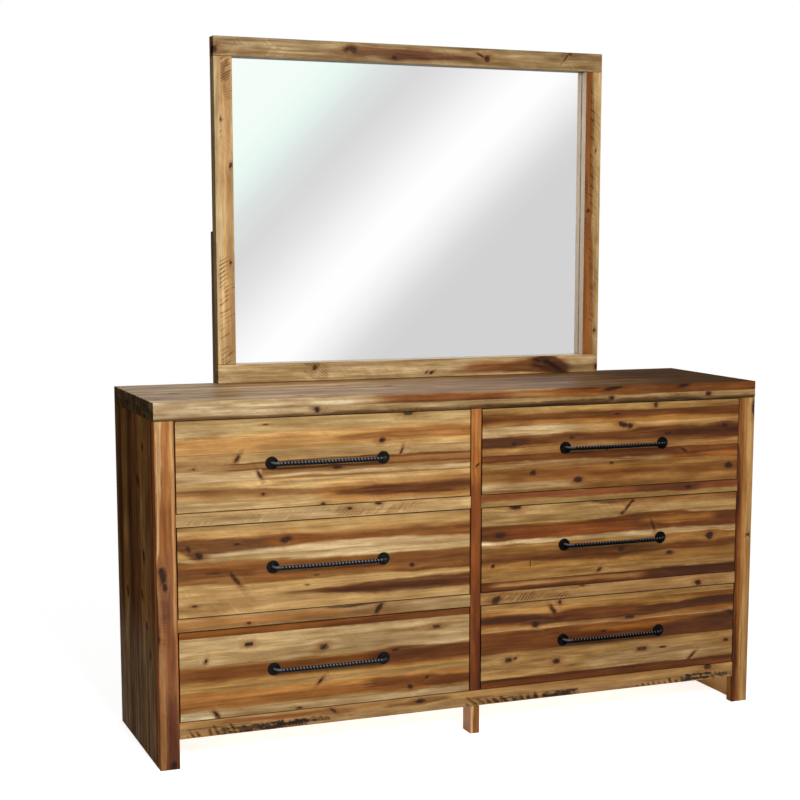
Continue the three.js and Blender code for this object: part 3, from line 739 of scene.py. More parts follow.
UPRIGHTS = {
    "left_front_stile": ((160, 102, 54), {
        "bands": [((112, 66, 38), 0.85, 10, [(0, 18, 46), (120, 19, 46), (240, 20, 42), (330, 24, 40)]),
                  ((94, 50, 32), 0.8, 7, [(-20, 26, 42), (100, 26, 42), (160, 30, 40)], 40),
                  ((128, 78, 44), 0.75, 9, [(220, 12, 40), (430, 14, 40)]),
                  ((104, 62, 40), 0.8, 8, [(390, 12, 34), (470, 12, 32), (520, 16, 26)], 30),
                  ((134, 82, 48), 0.7, 9, [(480, 16, 42), (570, 14, 40)]),
                  ((148, 92, 46), 0.8, 10, [(560, 10, 44), (700, 12, 44)]),
                  ((168, 110, 58), 0.85, 10, [(690, 12, 44), (869, 14, 44)]),
                  ((144, 102, 60), 0.8, 5, [(0, 5, 16), (110, 8, 16), (230, 8, 14), (330, 4, 10), (480, 4, 9)]),
                  ((206, 166, 114), 0.85, 3, [(560, 4, 8), (640, 4, 9), (700, 4, 15), (790, 4, 17), (869, 5, 19)]),
                  ((178, 132, 82), 0.85, 3, [(380, 40, 46), (600, 40, 45), (869, 40, 46)]),
                  ((126, 72, 42), 0.75, 2, [(0, -3, 3), (400, -3, 3), (600, -3, 2)]),
                  ((64, 32, 24), 0.7, 2, [(300, -2, 3), (430, -2, 3)])],
        "knots": [(489, 16, 22, 10), (503, 12, 9, 7), (462, 20, 12, 6), (10, 34, 14, 8, 20), (332, 1, 9, 4)],
        "saws": [(300, 440, 6, 30, 7, 0.25, 0.22)]}),
    "centre_stile": ((118, 62, 24), {
        "bands": [((112, 58, 22), 0.8, 8, [(-10, -4, 34), (130, -4, 34), (260, 0, 34)]),
                  ((88, 40, 14), 0.8, 6, [(-10, 15, 34), (110, 16, 34), (150, 18, 34)], 30),
                  ((90, 42, 16), 0.75, 4, [(140, 7, 15), (260, 8, 15)]),
                  ((128, 70, 28), 0.6, 8, [(360, 6, 24), (560, 8, 30)]),
                  ((160, 96, 42), 0.9, 9, [(590, -6, 36), (752, -6, 36)], 60),
                  ((180, 120, 64), 0.5, 5, [(660, 13, 22), (752, 14, 22)])],
        "knots": [(604, 18, 7, 3, 50)]}),
    "right_front_stile": ((162, 114, 60), {
        "bands": [((130, 74, 24), 0.75, 6, [(0, 8, 18), (230, 8, 20), (480, 4, 14), (700, 3, 13), (869, 0, 10)]),
                  ((80, 34, 8), 0.94, 4, [(-20, -4, 11), (120, -4, 12), (230, -4, 7), (480, -4, 5), (560, -4, 6),
                                           (690, -4, 6), (730, -4, 1)], 20),
                  ((178, 134, 80), 0.8, 8, [(0, 24, 46), (120, 26, 42), (260, 28, 46), (400, 30, 42)]),
                  ((182, 138, 82), 0.8, 8, [(480, 30, 50), (700, 31, 50), (869, 30, 46)])],
        "knots": [(578, 4, 40, 3), (838, 48, 20, 7), (482, 38, 6, 3, 60), (478, 42, 6, 2, 120)],
        "figure": 0.9}),
}
RAILS = {
    "bottom_rail": ((158, 122, 77), {
        "bands": [(GOLD, 0.5, 6, [(0, 28, 40), (500, 26, 40), (1100, 28, 40), (1590, 30, 40)]),
                  ((118, 62, 26), 0.75, 4, [(130, 28, 37), (300, 27, 34), (430, 26, 31)]),
                  ((96, 60, 30), 0.7, 5, [(560, 27, 32), (640, 26, 36), (705, 29, 35)]),
                  ((120, 96, 62), 0.4, 5, [(180, 4, 16), (400, 4, 18), (700, 4, 14)]),
                  ((92, 54, 28), 0.75, 1.6, [(20, 22, 24.5), (80, 21, 24), (180, 22, 24.5)], 6),
                  ((92, 54, 28), 0.7, 1.6, [(790, 19, 21.5), (900, 18, 20.5), (1000, 18, 21), (1096, 14, 17)], 6)],
        "knots": [(400, 31, 12, 4, 150), (640, 30, 15, 5), (1510, 37, 14, 8)],
        "saws": [(22, 180, 3, 28, 15, 0.7, 1.5, 3.2), (175, 330, 2, 20, 9, 0.6, 1.2, 2.4),
                 (345, 400, 8, 24, 8, 0.6, 1.4, 2.4), (770, 1010, 2, 24, 23, 0.6, 1.6, 4),
                 (790, 1010, 2, 15, 11, 0.6, 1.0, 2.6), (1000, 1094, 1, 16, 9, 0.6, 1.3, 2.6),
                 (1280, 1440, 0, 17, 18, 0.5, 1.5, 3.4), (1530, 1590, 4, 18, 12, 0.5, 1.4, 3)],
        "scrapes": [(110, 260, 1, 17, 0.8), (205, 250, 4, 18, 0.95), (235, 345, 8, 20, 1.1), (890, 1000, 2, 14, 0.6),
                    (1000, 1096, 2, 15, 0.9), (1440, 1522, 3, 20, 1.05), (1520, 1570, 6, 14, 0.8)]}),
    "lower_left_divider": ((157, 126, 83), {
        "bands": [(BROWN, 0.55, 5, [(0, 4, 16), (300, 6, 20), (560, 4, 14)]),
                  ((58, 38, 26), 0.8, 2.5, [(400, 28, 33), (450, 27, 33), (520, 28, 33)]),
                  (ORANGE, 0.5, 6, [(0, 14, 30), (400, 12, 26)])],
        "knots": [(524, 17, 17, 6, 55), (180, 9, 5, 3)]}),
    "upper_left_divider": ((184, 150, 100), {
        "bands": [(SAWN, 0.5, 7, [(80, 6, 22), (260, 4, 18), (420, 8, 20)])],
        "knots": [(447, 21, 6, 4), (525, 29, 8, 4)],
        "saws": [(20, 420, 3, 28, 8, -1.0, 0.3), (410, 640, 3, 26, 9, -1.0, 0.55), (640, 760, 3, 28, 9, -1.0, 0.3)]}),
    "lower_right_divider": ((157, 123, 80), {
        "bands": [(GOLD, 0.5, 6, [(0, 10, 30), (400, 12, 28), (780, 8, 26)])],
        "knots": [(44, 10, 14, 8, 20), (662, 10, 9, 8), (300, 30, 10, 2)],
        "saws": [(16, 90, 8, 33, 10, -1.0, 0.6), (90, 280, 4, 26, 10, -1.0, 1.1)]}),
    "upper_right_divider": ((144, 112, 64), {
        "bands": [((116, 62, 30), 0.95, 3, [(0, 15, 34), (300, 16, 34), (560, 14, 34), (780, 15, 34)]),
                  (DARK, 0.6, 4, [(480, 18, 30), (640, 18, 30)])],
        "knots": [(622, 21, 14, 6)]}),
}
FOOT_COLOUR = (166, 110, 56)
FOOT_LOOK = {"bands": [(BROWN, 0.75, 5, [(0, 13, 32), (75, 12, 32)]), (PALE, 0.6, 3, [(0, 2, 8), (75, 2, 9)])]}


def face_board(name, colour, look, grain, spacing, ease, ends=None):
    low, high = node_box(name)
    part = board(low, high, grain, X + Z - grain, colour, seed_of(name), look, spacing, ease, coarse=(BACK,))
    mesh_object(f"{name}_board", [part], WOOD, "case", [name], ends)


for name, (colour, look) in UPRIGHTS.items():
    face_board(name, colour, look, Z, spacing=(2.6, 2.0), ease=1.3, ends=SIDE_WOOD)
for name, (colour, look) in RAILS.items():
    face_board(name, colour, look, X, spacing=(2.4, 2.0), ease=1.1)
foot = board(*node_box("centre_foot"), Z, X, FOOT_COLOUR, 77, FOOT_LOOK, spacing=(2.5, 2.5), ease=1.2)
mesh_object("centre_foot_block", [foot], WOOD, "case", ["centre_foot"])

# ---- The side panels: upright boards over what is left of the CAD solids

SIDE_COLOURS = [(112, 74, 38), (126, 90, 46), (98, 62, 28), (120, 84, 42), (100, 66, 32)]
SIDE_WIDTHS = (84.0, 101.0, 78.0, 96.0)  # from the front, the last board taking the rest
SIDE_LOOK = {
    "bands": [((106, 48, 24), 0.75, 6, [(0, 0, 14), (400, 0, 12), (869, 0, 14)]),
              (DARK, 0.85, 12, [(0, 236, 284), (430, 240, 286), (869, 236, 280)]),
              ((96, 44, 24), 0.7, 8, [(0, 156, 184), (500, 158, 186), (869, 160, 180)]),
              (DARK, 0.85, 10, [(0, 362, 396), (430, 364, 398), (869, 360, 392)]),
              ((128, 102, 76), 0.56, 60, [(-200, -60, 520), (215, -60, 520)], 190)],  # lighter near the floor: a painted reflection of the white floor
    "knots": [(792, 103, 11, 9), (514, 115, 16, 12, 30), (410, 142, 14, 10, 60), (339, 96, 10, 9), (274, 61, 10, 8),
              (385, 317, 14, 11), (640, 262, 10, 7), (700, 168, 20, 12, 60)],
    "figure": 1.5}


def board_edges(widths, length):
    """Where boards start and end across a panel, the last one taking what is left."""
    edges = np.concatenate([[0], np.cumsum(widths), [length]])
    return zip(edges[:-1], edges[1:])


def side_panel(name, shown, colours, look):
    """A panel that looks left, with shown 0, or right, with shown -1."""
    low, high = node_box(name)
    if shown == 0:
        first, last, hidden = low[X], low[X] + LAYER, RIGHT
        rest = remainder(name, X, last, 1, LIGHTENED_SIDE_INSIDE, seed_of(name))
    else:
        first, last, hidden = high[X] - LAYER, high[X], LEFT
        rest = remainder(name, X, first, -1, LIGHTENED_SIDE_INSIDE, seed_of(name))
    parts = []
    for index, (start, end) in enumerate(board_edges(SIDE_WIDTHS, high[Y] - low[Y])):
        parts.append(board((first, low[Y] + start, low[Z]), (last, low[Y] + end, high[Z]), Z, Y, colours[index],
                           seed_of(name) + index * 5, look, spacing=(6, 3.5), ease=0.5, coarse=(hidden,), shown=shown,
                           origin=low))
    mesh_object(f"{name}_boards", parts + [rest], SIDE_WOOD, "case", [name])


side_panel("left_side_panel", 0, SIDE_COLOURS, SIDE_LOOK)
side_panel("right_side_panel", -1, SIDE_COLOURS[::-1], strewn(5, 869, 436, knots=7, bands=4))

# ---- The top: a layer of boards along X on a second layer, whose front edges show as two strips

TOP_LAYER = 22.5
TOP_WIDTHS = (92.0, 74.0, 98.0, 66.0, 86.0)
TOP_COLOURS = [(176, 140, 96), (164, 130, 90), (156, 122, 84), (168, 134, 94), (152, 116, 76), (164, 128, 86)]
TOP_LOOK = {
    "bands": [
        # The first four bands span the whole depth and are painted light: a painted sheen on the left half, and painted
        # shade deepening towards the right end.
        ((206, 170, 120), 0.45, 60, [(-50, 190, 500), (760, 190, 500)], 300),
        ((132, 100, 64), 0.55, 90, [(760, -90, 560), (1690, -90, 560)], 300),
        ((84, 60, 38), 0.55, 90, [(1200, -90, 560), (1690, -90, 560)], 260),
        ((56, 42, 30), 0.6, 90, [(1520, -90, 560), (1690, -90, 560)], 200),
        ((206, 176, 130), 0.9, 5, [(0, -23, -2), (300, -23, -2), (560, -22, -3)], 100),
        ((218, 190, 146), 0.9, 5, [(-40, -23, -5), (110, -23, -5)], 80),
        ((154, 104, 54), 0.9, 5, [(600, -22, -3), (700, -22, -4), (1000, -21, -5), (1130, -21, -5)], 80),
        ((118, 64, 30), 0.85, 5, [(650, -21, -5), (760, -21, -5), (900, -20, -8)], 80),
        ((130, 74, 30), 0.9, 5, [(1100, -22, -3), (1300, -22, -3), (1690, -22, -2)], 120),
        (UMBER, 0.8, 3, [(1100, -6, 2), (1290, -7, 2), (1420, -4, 2), (1520, -8, 2), (1690, -5, 0)], 40),
        (PALE, 0.6, 6, [(0, 20, 60), (180, 24, 70), (420, 30, 60)]),
        (BROWN, 0.6, 12, [(600, 6, 30), (900, 10, 34), (1300, 8, 30), (1690, 12, 34)]),
        (BROWN, 0.6, 10, [(200, 110, 130), (700, 112, 128), (1150, 104, 126), (1690, 108, 130)]),
        (UMBER, 0.55, 12, [(0, 190, 208), (300, 192, 206), (900, 196, 214), (1690, 204, 226)]),
        (UMBER, 0.6, 12, [(900, 268, 284), (1200, 262, 290), (1690, 260, 292)]),
        (BROWN, 0.7, 12, [(300, 398, 424), (800, 402, 430), (1300, 400, 428), (1690, 404, 430)])],
    "knots": [(100, 215, 14, 8, 15), (680, 218, 14, 9, 30), (565, 268, 10, 6), (385, 58, 9, 7), (1243, -5, 30, 6, 8),
              (1462, -4, 20, 6, 10), (1560, 210, 14, 8), (1085, 270, 13, 6), (30, 78, 9, 7)],
    "figure": 1.4}
EDGE_WIDTHS = (88.0, 104.0, 90.0, 98.0)
EDGE_COLOURS = [(172, 140, 94), (150, 112, 70)]
EDGE_LOOK = {
    "bands": [((202, 172, 126), 0.9, 6, [(0, -16, -1), (360, -16, -1), (640, -14, -2), (820, -13, -3)], 80),
              ((220, 192, 148), 0.9, 6, [(-40, -15, 2), (330, -15, 2)], 160),
              (SAWN, 0.6, 6, [(800, -18, -6), (900, -18, -6)]),
              ((70, 46, 28), 0.85, 2.5, [(590, -24, -19), (700, -24, -18.5), (860, -24, -19)]),
              # This band and the next two darken the bottom of the front edge along its whole length: painted shade
              # under the slab's edge.
              ((114, 82, 48), 0.9, 3, [(-20, -24, -16), (500, -24, -15.5), (940, -24, -15)], 40),
              ((96, 64, 34), 0.85, 3, [(880, -24, -12), (1060, -24, -10), (1300, -24, -9), (1700, -24, -12)], 90),
              ((56, 36, 16), 0.85, 3, [(940, -24, -16), (1300, -24, -15), (1700, -24, -16)], 90),
              (UMBER, 0.7, 2, [(1150, -3, 1), (1250, -4, 1), (1330, -2, 1)])],
    "knots": [(412, -9, 9, 7), (1240, -9, 9, 6), (1540, -7, 11, 8)], "figure": 1.2,
    "saws": [(820, 890, -20, -4, 9, 0.8, 0.35), (600, 860, -23, -14, 10, 0.6, 0.4)]}


def darker_end(tone, world, normals):
    """The ends of the top are dark and mottled."""
    mottle = 0.36 + 0.16 * layered(world[:, Y] / 26, world[:, Z] / 7, 71)
    return tone * np.where(np.abs(normals[:, X]) > FACES_ALONG, mottle, 1.0)[:, None]


def slab_layer(bottom, top, widths, colours, look, seed):
    """Boards from front to back between two heights, the colours taken in turn."""
    origin = (SLAB_LOW[X], SLAB_LOW[Y], top)
    parts = []
    for index, (start, end) in enumerate(board_edges(widths, SLAB_HIGH[Y] - SLAB_LOW[Y])):
        low = (SLAB_LOW[X], SLAB_LOW[Y] + start, bottom)
        high = (SLAB_HIGH[X], SLAB_LOW[Y] + end, top)
        parts.append(board(low, high, X, Y, colours[index % len(colours)], seed + index * 13, look, spacing=(6, 3.6),
                           ease=0.6, coarse=(UNDER,), shown=-1, origin=origin, tint=darker_end))
    return parts


slab_middle = SLAB_HIGH[Z] - TOP_LAYER
slab_parts = slab_layer(slab_middle, SLAB_HIGH[Z], TOP_WIDTHS, TOP_COLOURS, TOP_LOOK, 301)
slab_parts += slab_layer(SLAB_LOW[Z], slab_middle, EDGE_WIDTHS, EDGE_COLOURS, EDGE_LOOK, 401)
mesh_object("top_slab_boards", slab_parts, TOP_WOOD, "case", ["top_slab"], SIDE_WOOD)

# ---- The mirror's frame: u and v are x and z from the frame's lower left corner

FRAME_LOOKS = {
    "mirror_top_rail": ((152, 124, 83), {
        "bands": [((92, 50, 26), 0.9, 7, [(340, 878, 892), (450, 878, 900), (600, 876, 898), (720, 880, 890)]),
                  (SAWN, 0.4, 8, [(60, 870, 900), (220, 872, 904), (340, 876, 900)])],
        "knots": [(371, 894, 13, 7, 20), (389, 893, 12, 8, 150), (507, 877, 9, 6), (783, 886, 9, 8),
                  (765, 893, 12, 3, 155), (1030, 900, 14, 2, 50), (1042, 909, 6, 4), (3, 879, 8, 9)],
        "saws": [(5, 200, 866, 908, 7, -0.8, 0.3), (560, 760, 866, 900, 9, 0.7, 0.2),
                 (860, 1120, 866, 902, 10, 0.7, 0.2)],
        "figure": 1.5}),
    "mirror_bottom_rail": ((190, 160, 112), {
        "bands": [((136, 80, 38), 0.8, 8, [(700, 14, 28), (820, 12, 34), (960, 8, 44), (1030, 2, 36)], 30),
                  ((70, 36, 20), 0.8, 9, [(945, 24, 42), (970, 16, 48), (1005, 6, 42), (1035, 0, 22)], 36),
                  (PALE, 0.5, 8, [(300, 14, 36), (560, 16, 38), (680, 18, 36)])],
        "knots": [(272, 36, 8, 6, 60), (602, 14, 4, 2, 40), (617, 13, 6, 3, 20), (976, 34, 13, 9),
                  (992, 26, 38, 7, 146), (950, 38, 14, 4, 160), (1012, 15, 22, 6, 146), (1140, 16, 6, 9)],
        "saws": [(238, 310, 4, 66, 10, 1.3, 1.2), (165, 212, 12, 42, 9, 1.0, 0.5), (400, 520, 8, 40, 8, 0.9, 0.25)],
        "figure": 1.3}),
    "mirror_left_stile": ((209, 178, 128), {
        "bands": [((176, 124, 66), 0.55, 9, [(100, 26, 46), (400, 24, 44), (862, 20, 46)])],
        "knots": [(581, 43, 6, 4), (324, 39, 4, 3), (700, 17, 4, 2), (575, 40, 4, 2)],
        "saws": [(798, 862, 19, 49, 6.4, -0.6, 1.0), (748, 790, 24, 49, 7, -0.35, 0.35),
                 (655, 715, 14, 26, 13, -0.3, 0.7), (60, 335, 8, 49, 11.4, -0.6, 0.75),
                 (4, 62, 12, 54, 6.7, -0.5, 1.5)]}),
    "mirror_right_stile": ((192, 158, 106), {
        "bands": [((144, 84, 34), 0.92, 6, [(0, 1086, 1126), (250, 1086, 1122), (420, 1086, 1116), (862, 1086, 1113)]),
                  (BROWN, 0.5, 4, [(400, 1092, 1102), (862, 1092, 1101)])],
        "knots": [(469, 1107, 6, 5), (122, 1131, 6, 5), (640, 1128, 5, 2)],
        "saws": [(330, 850, 1110, 1125, 26.6, 0.9, 1.1), (420, 560, 1093, 1112, 12, 0.7, 0.7),
                 (200, 850, 1117, 1144, 6, 1.2, 0.35), (140, 330, 1114, 1128, 20, 0.8, 0.7)]}),
}
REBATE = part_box("mirror_glass")[0][1] / MM - MIRROR_LOW[Y] - 0.3  # how far behind the face the rebate starts


def recess_tint(axis, side, glass, recess):
    """The frame's edge round the glass has a colour of its own, recess, and a line of painted shade where it meets the
    glass.
    """
    def tint(tone, world, normals):
        share = step(normals[:, axis] * side - 0.75, 0.3)[:, None] * 0.85
        glass_gap_shade = step(world[:, Y] - glass + 2.0, 1.5)[:, None]
        return covered(tone, recess, share) * (1 - 0.8 * share * glass_gap_shade)
    return tint


def mirror_board(name, colour, look):
    low, high = node_box(name)
    back = low[Y] + REBATE
    rail = name.endswith("rail")
    grain, across = (X, Z) if rail else (Z, X)
    inner = 1 if name in ("mirror_bottom_rail", "mirror_left_stile") else -1
    # The top rail's underside takes painted shade in place of the pale recess colour.
    tint = recess_tint(across, inner, back, PAINTED_SHADE_RECESS if name == "mirror_top_rail" else RECESS)
    front_part = board(low, (high[X], back, high[Z]), grain, across, colour, seed_of(name), look, spacing=(1.9, 2.0),
                       ease=1.2, coarse=(BACK,), square=(BACK,), origin=MIRROR_LOW, joint_dirt_and_shade=0.45, tint=tint)
    back_part = remainder(name, Y, back, 1, FRAME_BACK, seed_of(name))
    mesh_object(f"{name}_board", [front_part, back_part], WOOD, "case", [name], SIDE_WOOD)


for name, (colour, look) in FRAME_LOOKS.items():
    mirror_board(name, colour, look)

# ---- The battens up the back of the mirror and the case, with countersunk screws

SCREW_HEIGHTS = (30.0, 230.0, 440.0, 568.0, 730.0, 884.0)  # up a batten
SCREW_STAGGER = 12.0
SINK_RADIUS = 6.0
SINK_DEPTH = 2.3
SINK_SLOPE = 1.5  # the width of a hollow's sloping edge
SINK_LINES = np.array([-7.5, -6.0, -5.0, -4.0, -2.0, 0.0, 2.0, 4.0, 5.0, 6.0, 7.5])


def batten_screws(name):
    """Where the heads of a batten's screws sit."""
    low, high = node_box(name)
    middle = (low[X] + high[X]) / 2
    sides = [SCREW_STAGGER if index % 2 else -SCREW_STAGGER for index in range(len(SCREW_HEIGHTS))]
    return [(middle + side, high[Y] - SINK_DEPTH, low[Z] + height) for side, height in zip(sides, SCREW_HEIGHTS)]


def batten(name):
    """A board with a finer grid and a hollow round each screw, darkened with painted shade."""
    low, high = node_box(name)
    look = strewn(seed_of(name), high[Z] - low[Z], high[X] - low[X], knots=4, bands=1)
    places = batten_screws(name)
    fine = {X: [place[X] + line for place in places[:2] for line in SINK_LINES],
            Z: [place[Z] + line for place in places for line in SINK_LINES]}
    points, faces, tone, fibre = board(low, high, Z, X, BATTEN, seed_of(name), look, spacing=(7, 4), ease=1.2,
                                       shown=-1, fine=fine)
    for place in places:
        reach = np.hypot(points[:, X] - place[X], points[:, Z] - place[Z])
        sunk = (points[:, Y] > high[Y] - 1.0) & (reach < SINK_RADIUS + 0.5)
        share = np.clip((SINK_RADIUS - reach[sunk]) / SINK_SLOPE, 0, 1)
        points[sunk, Y] -= SINK_DEPTH * share
        # Painted shade in the hollow, darker towards its middle
        tone[sunk] *= (1 - 0.6 * share)[:, None]
    mesh_object(f"{name}_batten", [(points, faces, tone, fibre)], WOOD, "case", [name])


batten("left_mirror_support")
batten("right_mirror_support")

# ---- The handles

BLACK_IRON = (8, 9, 11)
# The painted highlights on a bar's ridges: how long each is, its colour, and its angle, where 90 degrees is on top and
# 180 in front
RIDGE_HIGHLIGHTS = {"left": (1.8, (130, 138, 150), 134), "right": (0.6, (178, 188, 204), 119)}
HIGHLIGHT_SPREAD = math.radians(30)
# A painted highlight on the round necks, brighter on the left one
NECK_HIGHLIGHT_IRON = (150, 158, 172)
NECK_HIGHLIGHT = 0.5
ROSETTE_IRON = (20, 17, 15)
ZINC = (180, 170, 130)
HALF = 147.0  # half the distance between the rosettes' centres
BEATEN = 0.28  # how uneven a rosette's face is
HANDLE_GAP = 0.3  # between the front and the bar's ends
REACH = 26.9  # from the front to the middle of the bar's line
BOW = 3.0
SHOULDER = REACH - BOW
NECK = 15.0
BAR_RADIUS = 5.6
BAR_SIDES = 36
STRANDS = 3
LEAD = 26.1  # along the bar for one whole turn
GROOVE = 1.6
# Profiles of turned parts: radius and y, from the centre of the front to that of the back
ROSETTE = [(0, -6.3), (4, -6.3), (6.4, -6.1), (7.0, -5.4), (7.1, -4.2), (7.9, -3.5), (9.6, -3.1), (11.8, -3.5),
           (13.4, -3.5), (14.5, -3.1), (15.3, -2.5), (16.0, -2.1), (16.45, -1.5), (16.5, -0.5), (16.3, -0.05),
           (8, -0.05), (0, -0.05)]
SCREW_HEAD = [(0, 1.9), (0.8, 1.9), (2.2, 1.7), (3.3, 1.1), (3.9, 0.5), (4.0, 0.02), (2, 0.02), (0, 0.02)]
CROSS_WIDTH, CROSS_REACH, CROSS_DEPTH = 0.45, 2.5, 0.9
SCREW_TURN = 0.9  # radians from one screw's cross to the next one's


def bezier(a, b, c, count):
    """Points from a towards c on a curve that b pulls, without c itself."""
    t = np.linspace(0, 1, count, endpoint=False)[:, None]
    return (1 - t) ** 2 * a + 2 * t * (1 - t) * b + t * t * c


def handle_path():
    """Even points along the bar's centre line, in x and y, and how far along it each is."""
    start, bend = np.array([-HALF, 0.0]), np.array([-HALF, NECK - SHOULDER])
    corner, shoulder = np.array([-HALF, -SHOULDER]), np.array([NECK - HALF, -SHOULDER])
    crown, flip = np.array([0.0, -(REACH + BOW)]), np.array([-1.0, 1.0])
    line = np.linspace(start, bend, 12, endpoint=False)
    half = np.concatenate([line, bezier(bend, corner, shoulder, 30)])
    path = np.concatenate([half, bezier(shoulder, crown, shoulder * flip, 400), (half * flip)[::-1]])
    length = np.concatenate([[0], np.cumsum(np.linalg.norm(np.diff(path, axis=0), axis=1))])
    even = np.linspace(0, length[-1], 400)
    return np.stack([np.interp(even, length, path[:, axis]) for axis in (0, 1)], 1), even


def ring_angles(count):
    return np.arange(count) / count * 2 * math.pi


def twisted_bar(highlight_length, highlight_iron, highlight_degrees):
    """A closed bar of strands that twist about its line, with a painted highlight where each comes round to one side,
    and on its necks.
    """
    path, along = handle_path()
    tangent = np.gradient(path, axis=0)
    tangent /= np.linalg.norm(tangent, axis=1)[:, None]
    normal = np.stack([tangent[:, 1], -tangent[:, 0]], 1)
    angle = ring_angles(BAR_SIDES)
    from_end = np.minimum(along, along[-1] - along)
    twisted = step(from_end - (SHOULDER + NECK / 2), 9.0)  # 0 on the round necks
    lobes = 1 - np.abs(np.cos(angle * STRANDS / 2))
    swell = 1 - lobes[None, :] ** 1.3 * twisted[:, None] * GROOVE / BAR_RADIUS
    radius = BAR_RADIUS * swell * (1 - 0.05 * (1 - twisted))[:, None]
    turned = angle[None, :] + (along / LEAD)[:, None] * 2 * math.pi
    side, up = np.cos(turned) * radius, np.sin(turned) * radius
    points = np.stack([path[:, axis, None] - normal[:, axis, None] * side for axis in (0, 1)] + [up], -1)
    highlight_angle = math.radians(highlight_degrees)
    crossing = (along / LEAD - highlight_angle / (2 * math.pi)) * STRANDS
    beside = (crossing - np.round(crossing)) * LEAD / STRANDS
    off = (turned - highlight_angle + math.pi) % (2 * math.pi) - math.pi
    lit_side = np.exp(-(off / HIGHLIGHT_SPREAD) ** 2)[..., None]
    spots = (np.exp(-(beside / highlight_length) ** 2) * twisted)[:, None, None] * lit_side
    neck_highlight = np.where(path[:, 0] < 0, NECK_HIGHLIGHT, NECK_HIGHLIGHT / 3)
    neck_highlights = (neck_highlight * (1 - twisted))[:, None, None] * lit_side
    tone = linear(BLACK_IRON) * (1 - spots - neck_highlights) + linear(highlight_iron) * spots + linear(NECK_HIGHLIGHT_IRON) * neck_highlights
    number = np.arange(len(path) * BAR_SIDES).reshape(len(path), BAR_SIDES)
    ahead = np.roll(number, -1, axis=1)
    quads = np.stack([number[:-1], number[1:], ahead[1:], ahead[:-1]], -1).reshape(-1, 4).tolist()
    faces = quads + [number[0].tolist(), number[-1][::-1].tolist()]
    return points.reshape(-1, 3), faces, tone.reshape(-1, 3)


def turned_part(profile, around):
    """A closed solid turned about the Y axis."""
    points, faces = [[0.0, profile[0][1], 0.0]], []
    for radius, y in profile[1:-1]:
        points.extend([radius * math.cos(a), y, radius * math.sin(a)] for a in ring_angles(around))
    points.append([0.0, profile[-1][1], 0.0])
    rings = len(profile) - 2
    for i in range(around):
        j = (i + 1) % around
        faces.append([0, 1 + i, 1 + j])
        for ring in range(rings - 1):
            a, b = 1 + ring * around, 1 + (ring + 1) * around
            faces.append([a + i, b + i, b + j, a + j])
        last = 1 + (rings - 1) * around
        faces.append([last + i, len(points) - 1, last + j])
    return np.array(points), faces


def rosette(seed):
    """A rosette with a beaten face and blotchy iron."""
    points, faces = turned_part(ROSETTE, 48)
    face = points[:, Y] < -1.0
    points[face, Y] += BEATEN * noise(points[face, X] / 3.2, points[face, Z] / 3.2, seed)
    blotch = 1 + 0.8 * noise(points[:, X] / 2.6, points[:, Z] / 2.6, seed)
    return points, faces, linear(ROSETTE_IRON) * blotch[:, None]


def screws(name, places, body):
    """Round screw heads with a cross recess, facing the back."""
    head, faces = turned_part(SCREW_HEAD, 24)
    off_arms = np.minimum(np.abs(head[:, X]), np.abs(head[:, Z]))
    near_centre = np.hypot(head[:, X], head[:, Z]) < CROSS_REACH
    head[(head[:, Y] > 1.0) & (off_arms < CROSS_WIDTH) & near_centre, Y] -= CROSS_DEPTH
    faces = [face[::-1] for face in faces]
    tone = np.tile(linear(ZINC), (len(head), 1))
    parts = []
    for index, place in enumerate(places):
        points = head @ np.array(Matrix.Rotation(index * SCREW_TURN, 3, "Y")).T + np.array(place)
        parts.append((points, faces, tone, points))
    mesh_object(name, parts, STEEL, body)


def handle(level, column, bar):
    """A bar with its two rosettes on a drawer's front, and the screws that hold them from behind."""
    body = f"{level}_{column}_drawer"
    low, high = node_box(f"{body}_front")
    centre = np.array([(low[X] + high[X]) / 2, low[Y] - HANDLE_GAP, (low[Z] + high[Z]) / 2])
    parts = []
    for x, (points, faces, tone) in ((0, bar), (-HALF, rosette(seed_of(body))), (HALF, rosette(seed_of(body) + 1))):
        parts.append((points + centre + [x, 0, 0], faces, tone, points))
    mesh_object(f"{level}_{column}_twisted_handle", parts, IRONS[column], body, [f"{body}_handle"])
    screws(f"{level}_{column}_handle_screws", [(centre[X] + x, high[Y], centre[Z]) for x in (-HALF, HALF)], body)


bars = {column: twisted_bar(*ridge_highlight) for column, ridge_highlight in RIDGE_HIGHLIGHTS.items()}
for level, column in DRAWERS:
    handle(level, column, bars[column])

# ---- Pieces that keep their CAD shape

BOX_MATERIALS = {"left_side": BOX_SIDE, "right_side": BOX_SIDE, "back": BOX_BACK, "bottom": BOX_BOTTOM}
CASE_MATERIALS = {"back_panel": PANEL, "case_bottom": PANEL, "mirror_backing": PANEL, "centre_partition": UPRIGHT,
                  "mirror_glass": MIRROR}


def dress(node, material):
    """Gives a CAD solid a material."""
    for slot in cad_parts[node].material_slots:
        slot.material = material


for level, column in DRAWERS:
    for part, material in BOX_MATERIALS.items():
        dress(f"{level}_{column}_drawer_{part}", material)
for node, material in CASE_MATERIALS.items():
    dress(node, material)
for side in ("left", "right"):
    screws(f"{side}_support_screws", batten_screws(f"{side}_mirror_support"), "case")

# ---- Floor, light and camera, in metres

WHITE = (1, 1, 1, 1)
FLOOR_CORNERS = [(-9, -9), (9, -9), (9, 9), (-9, 9)]
FLOOR_DROP = 0.0005
FLOOR_COLOUR = (0.86, 0.86, 0.86, 1)
FLOOR_GLOW = 0.8
AMBIENT = 0.24
CLIP_END = 60
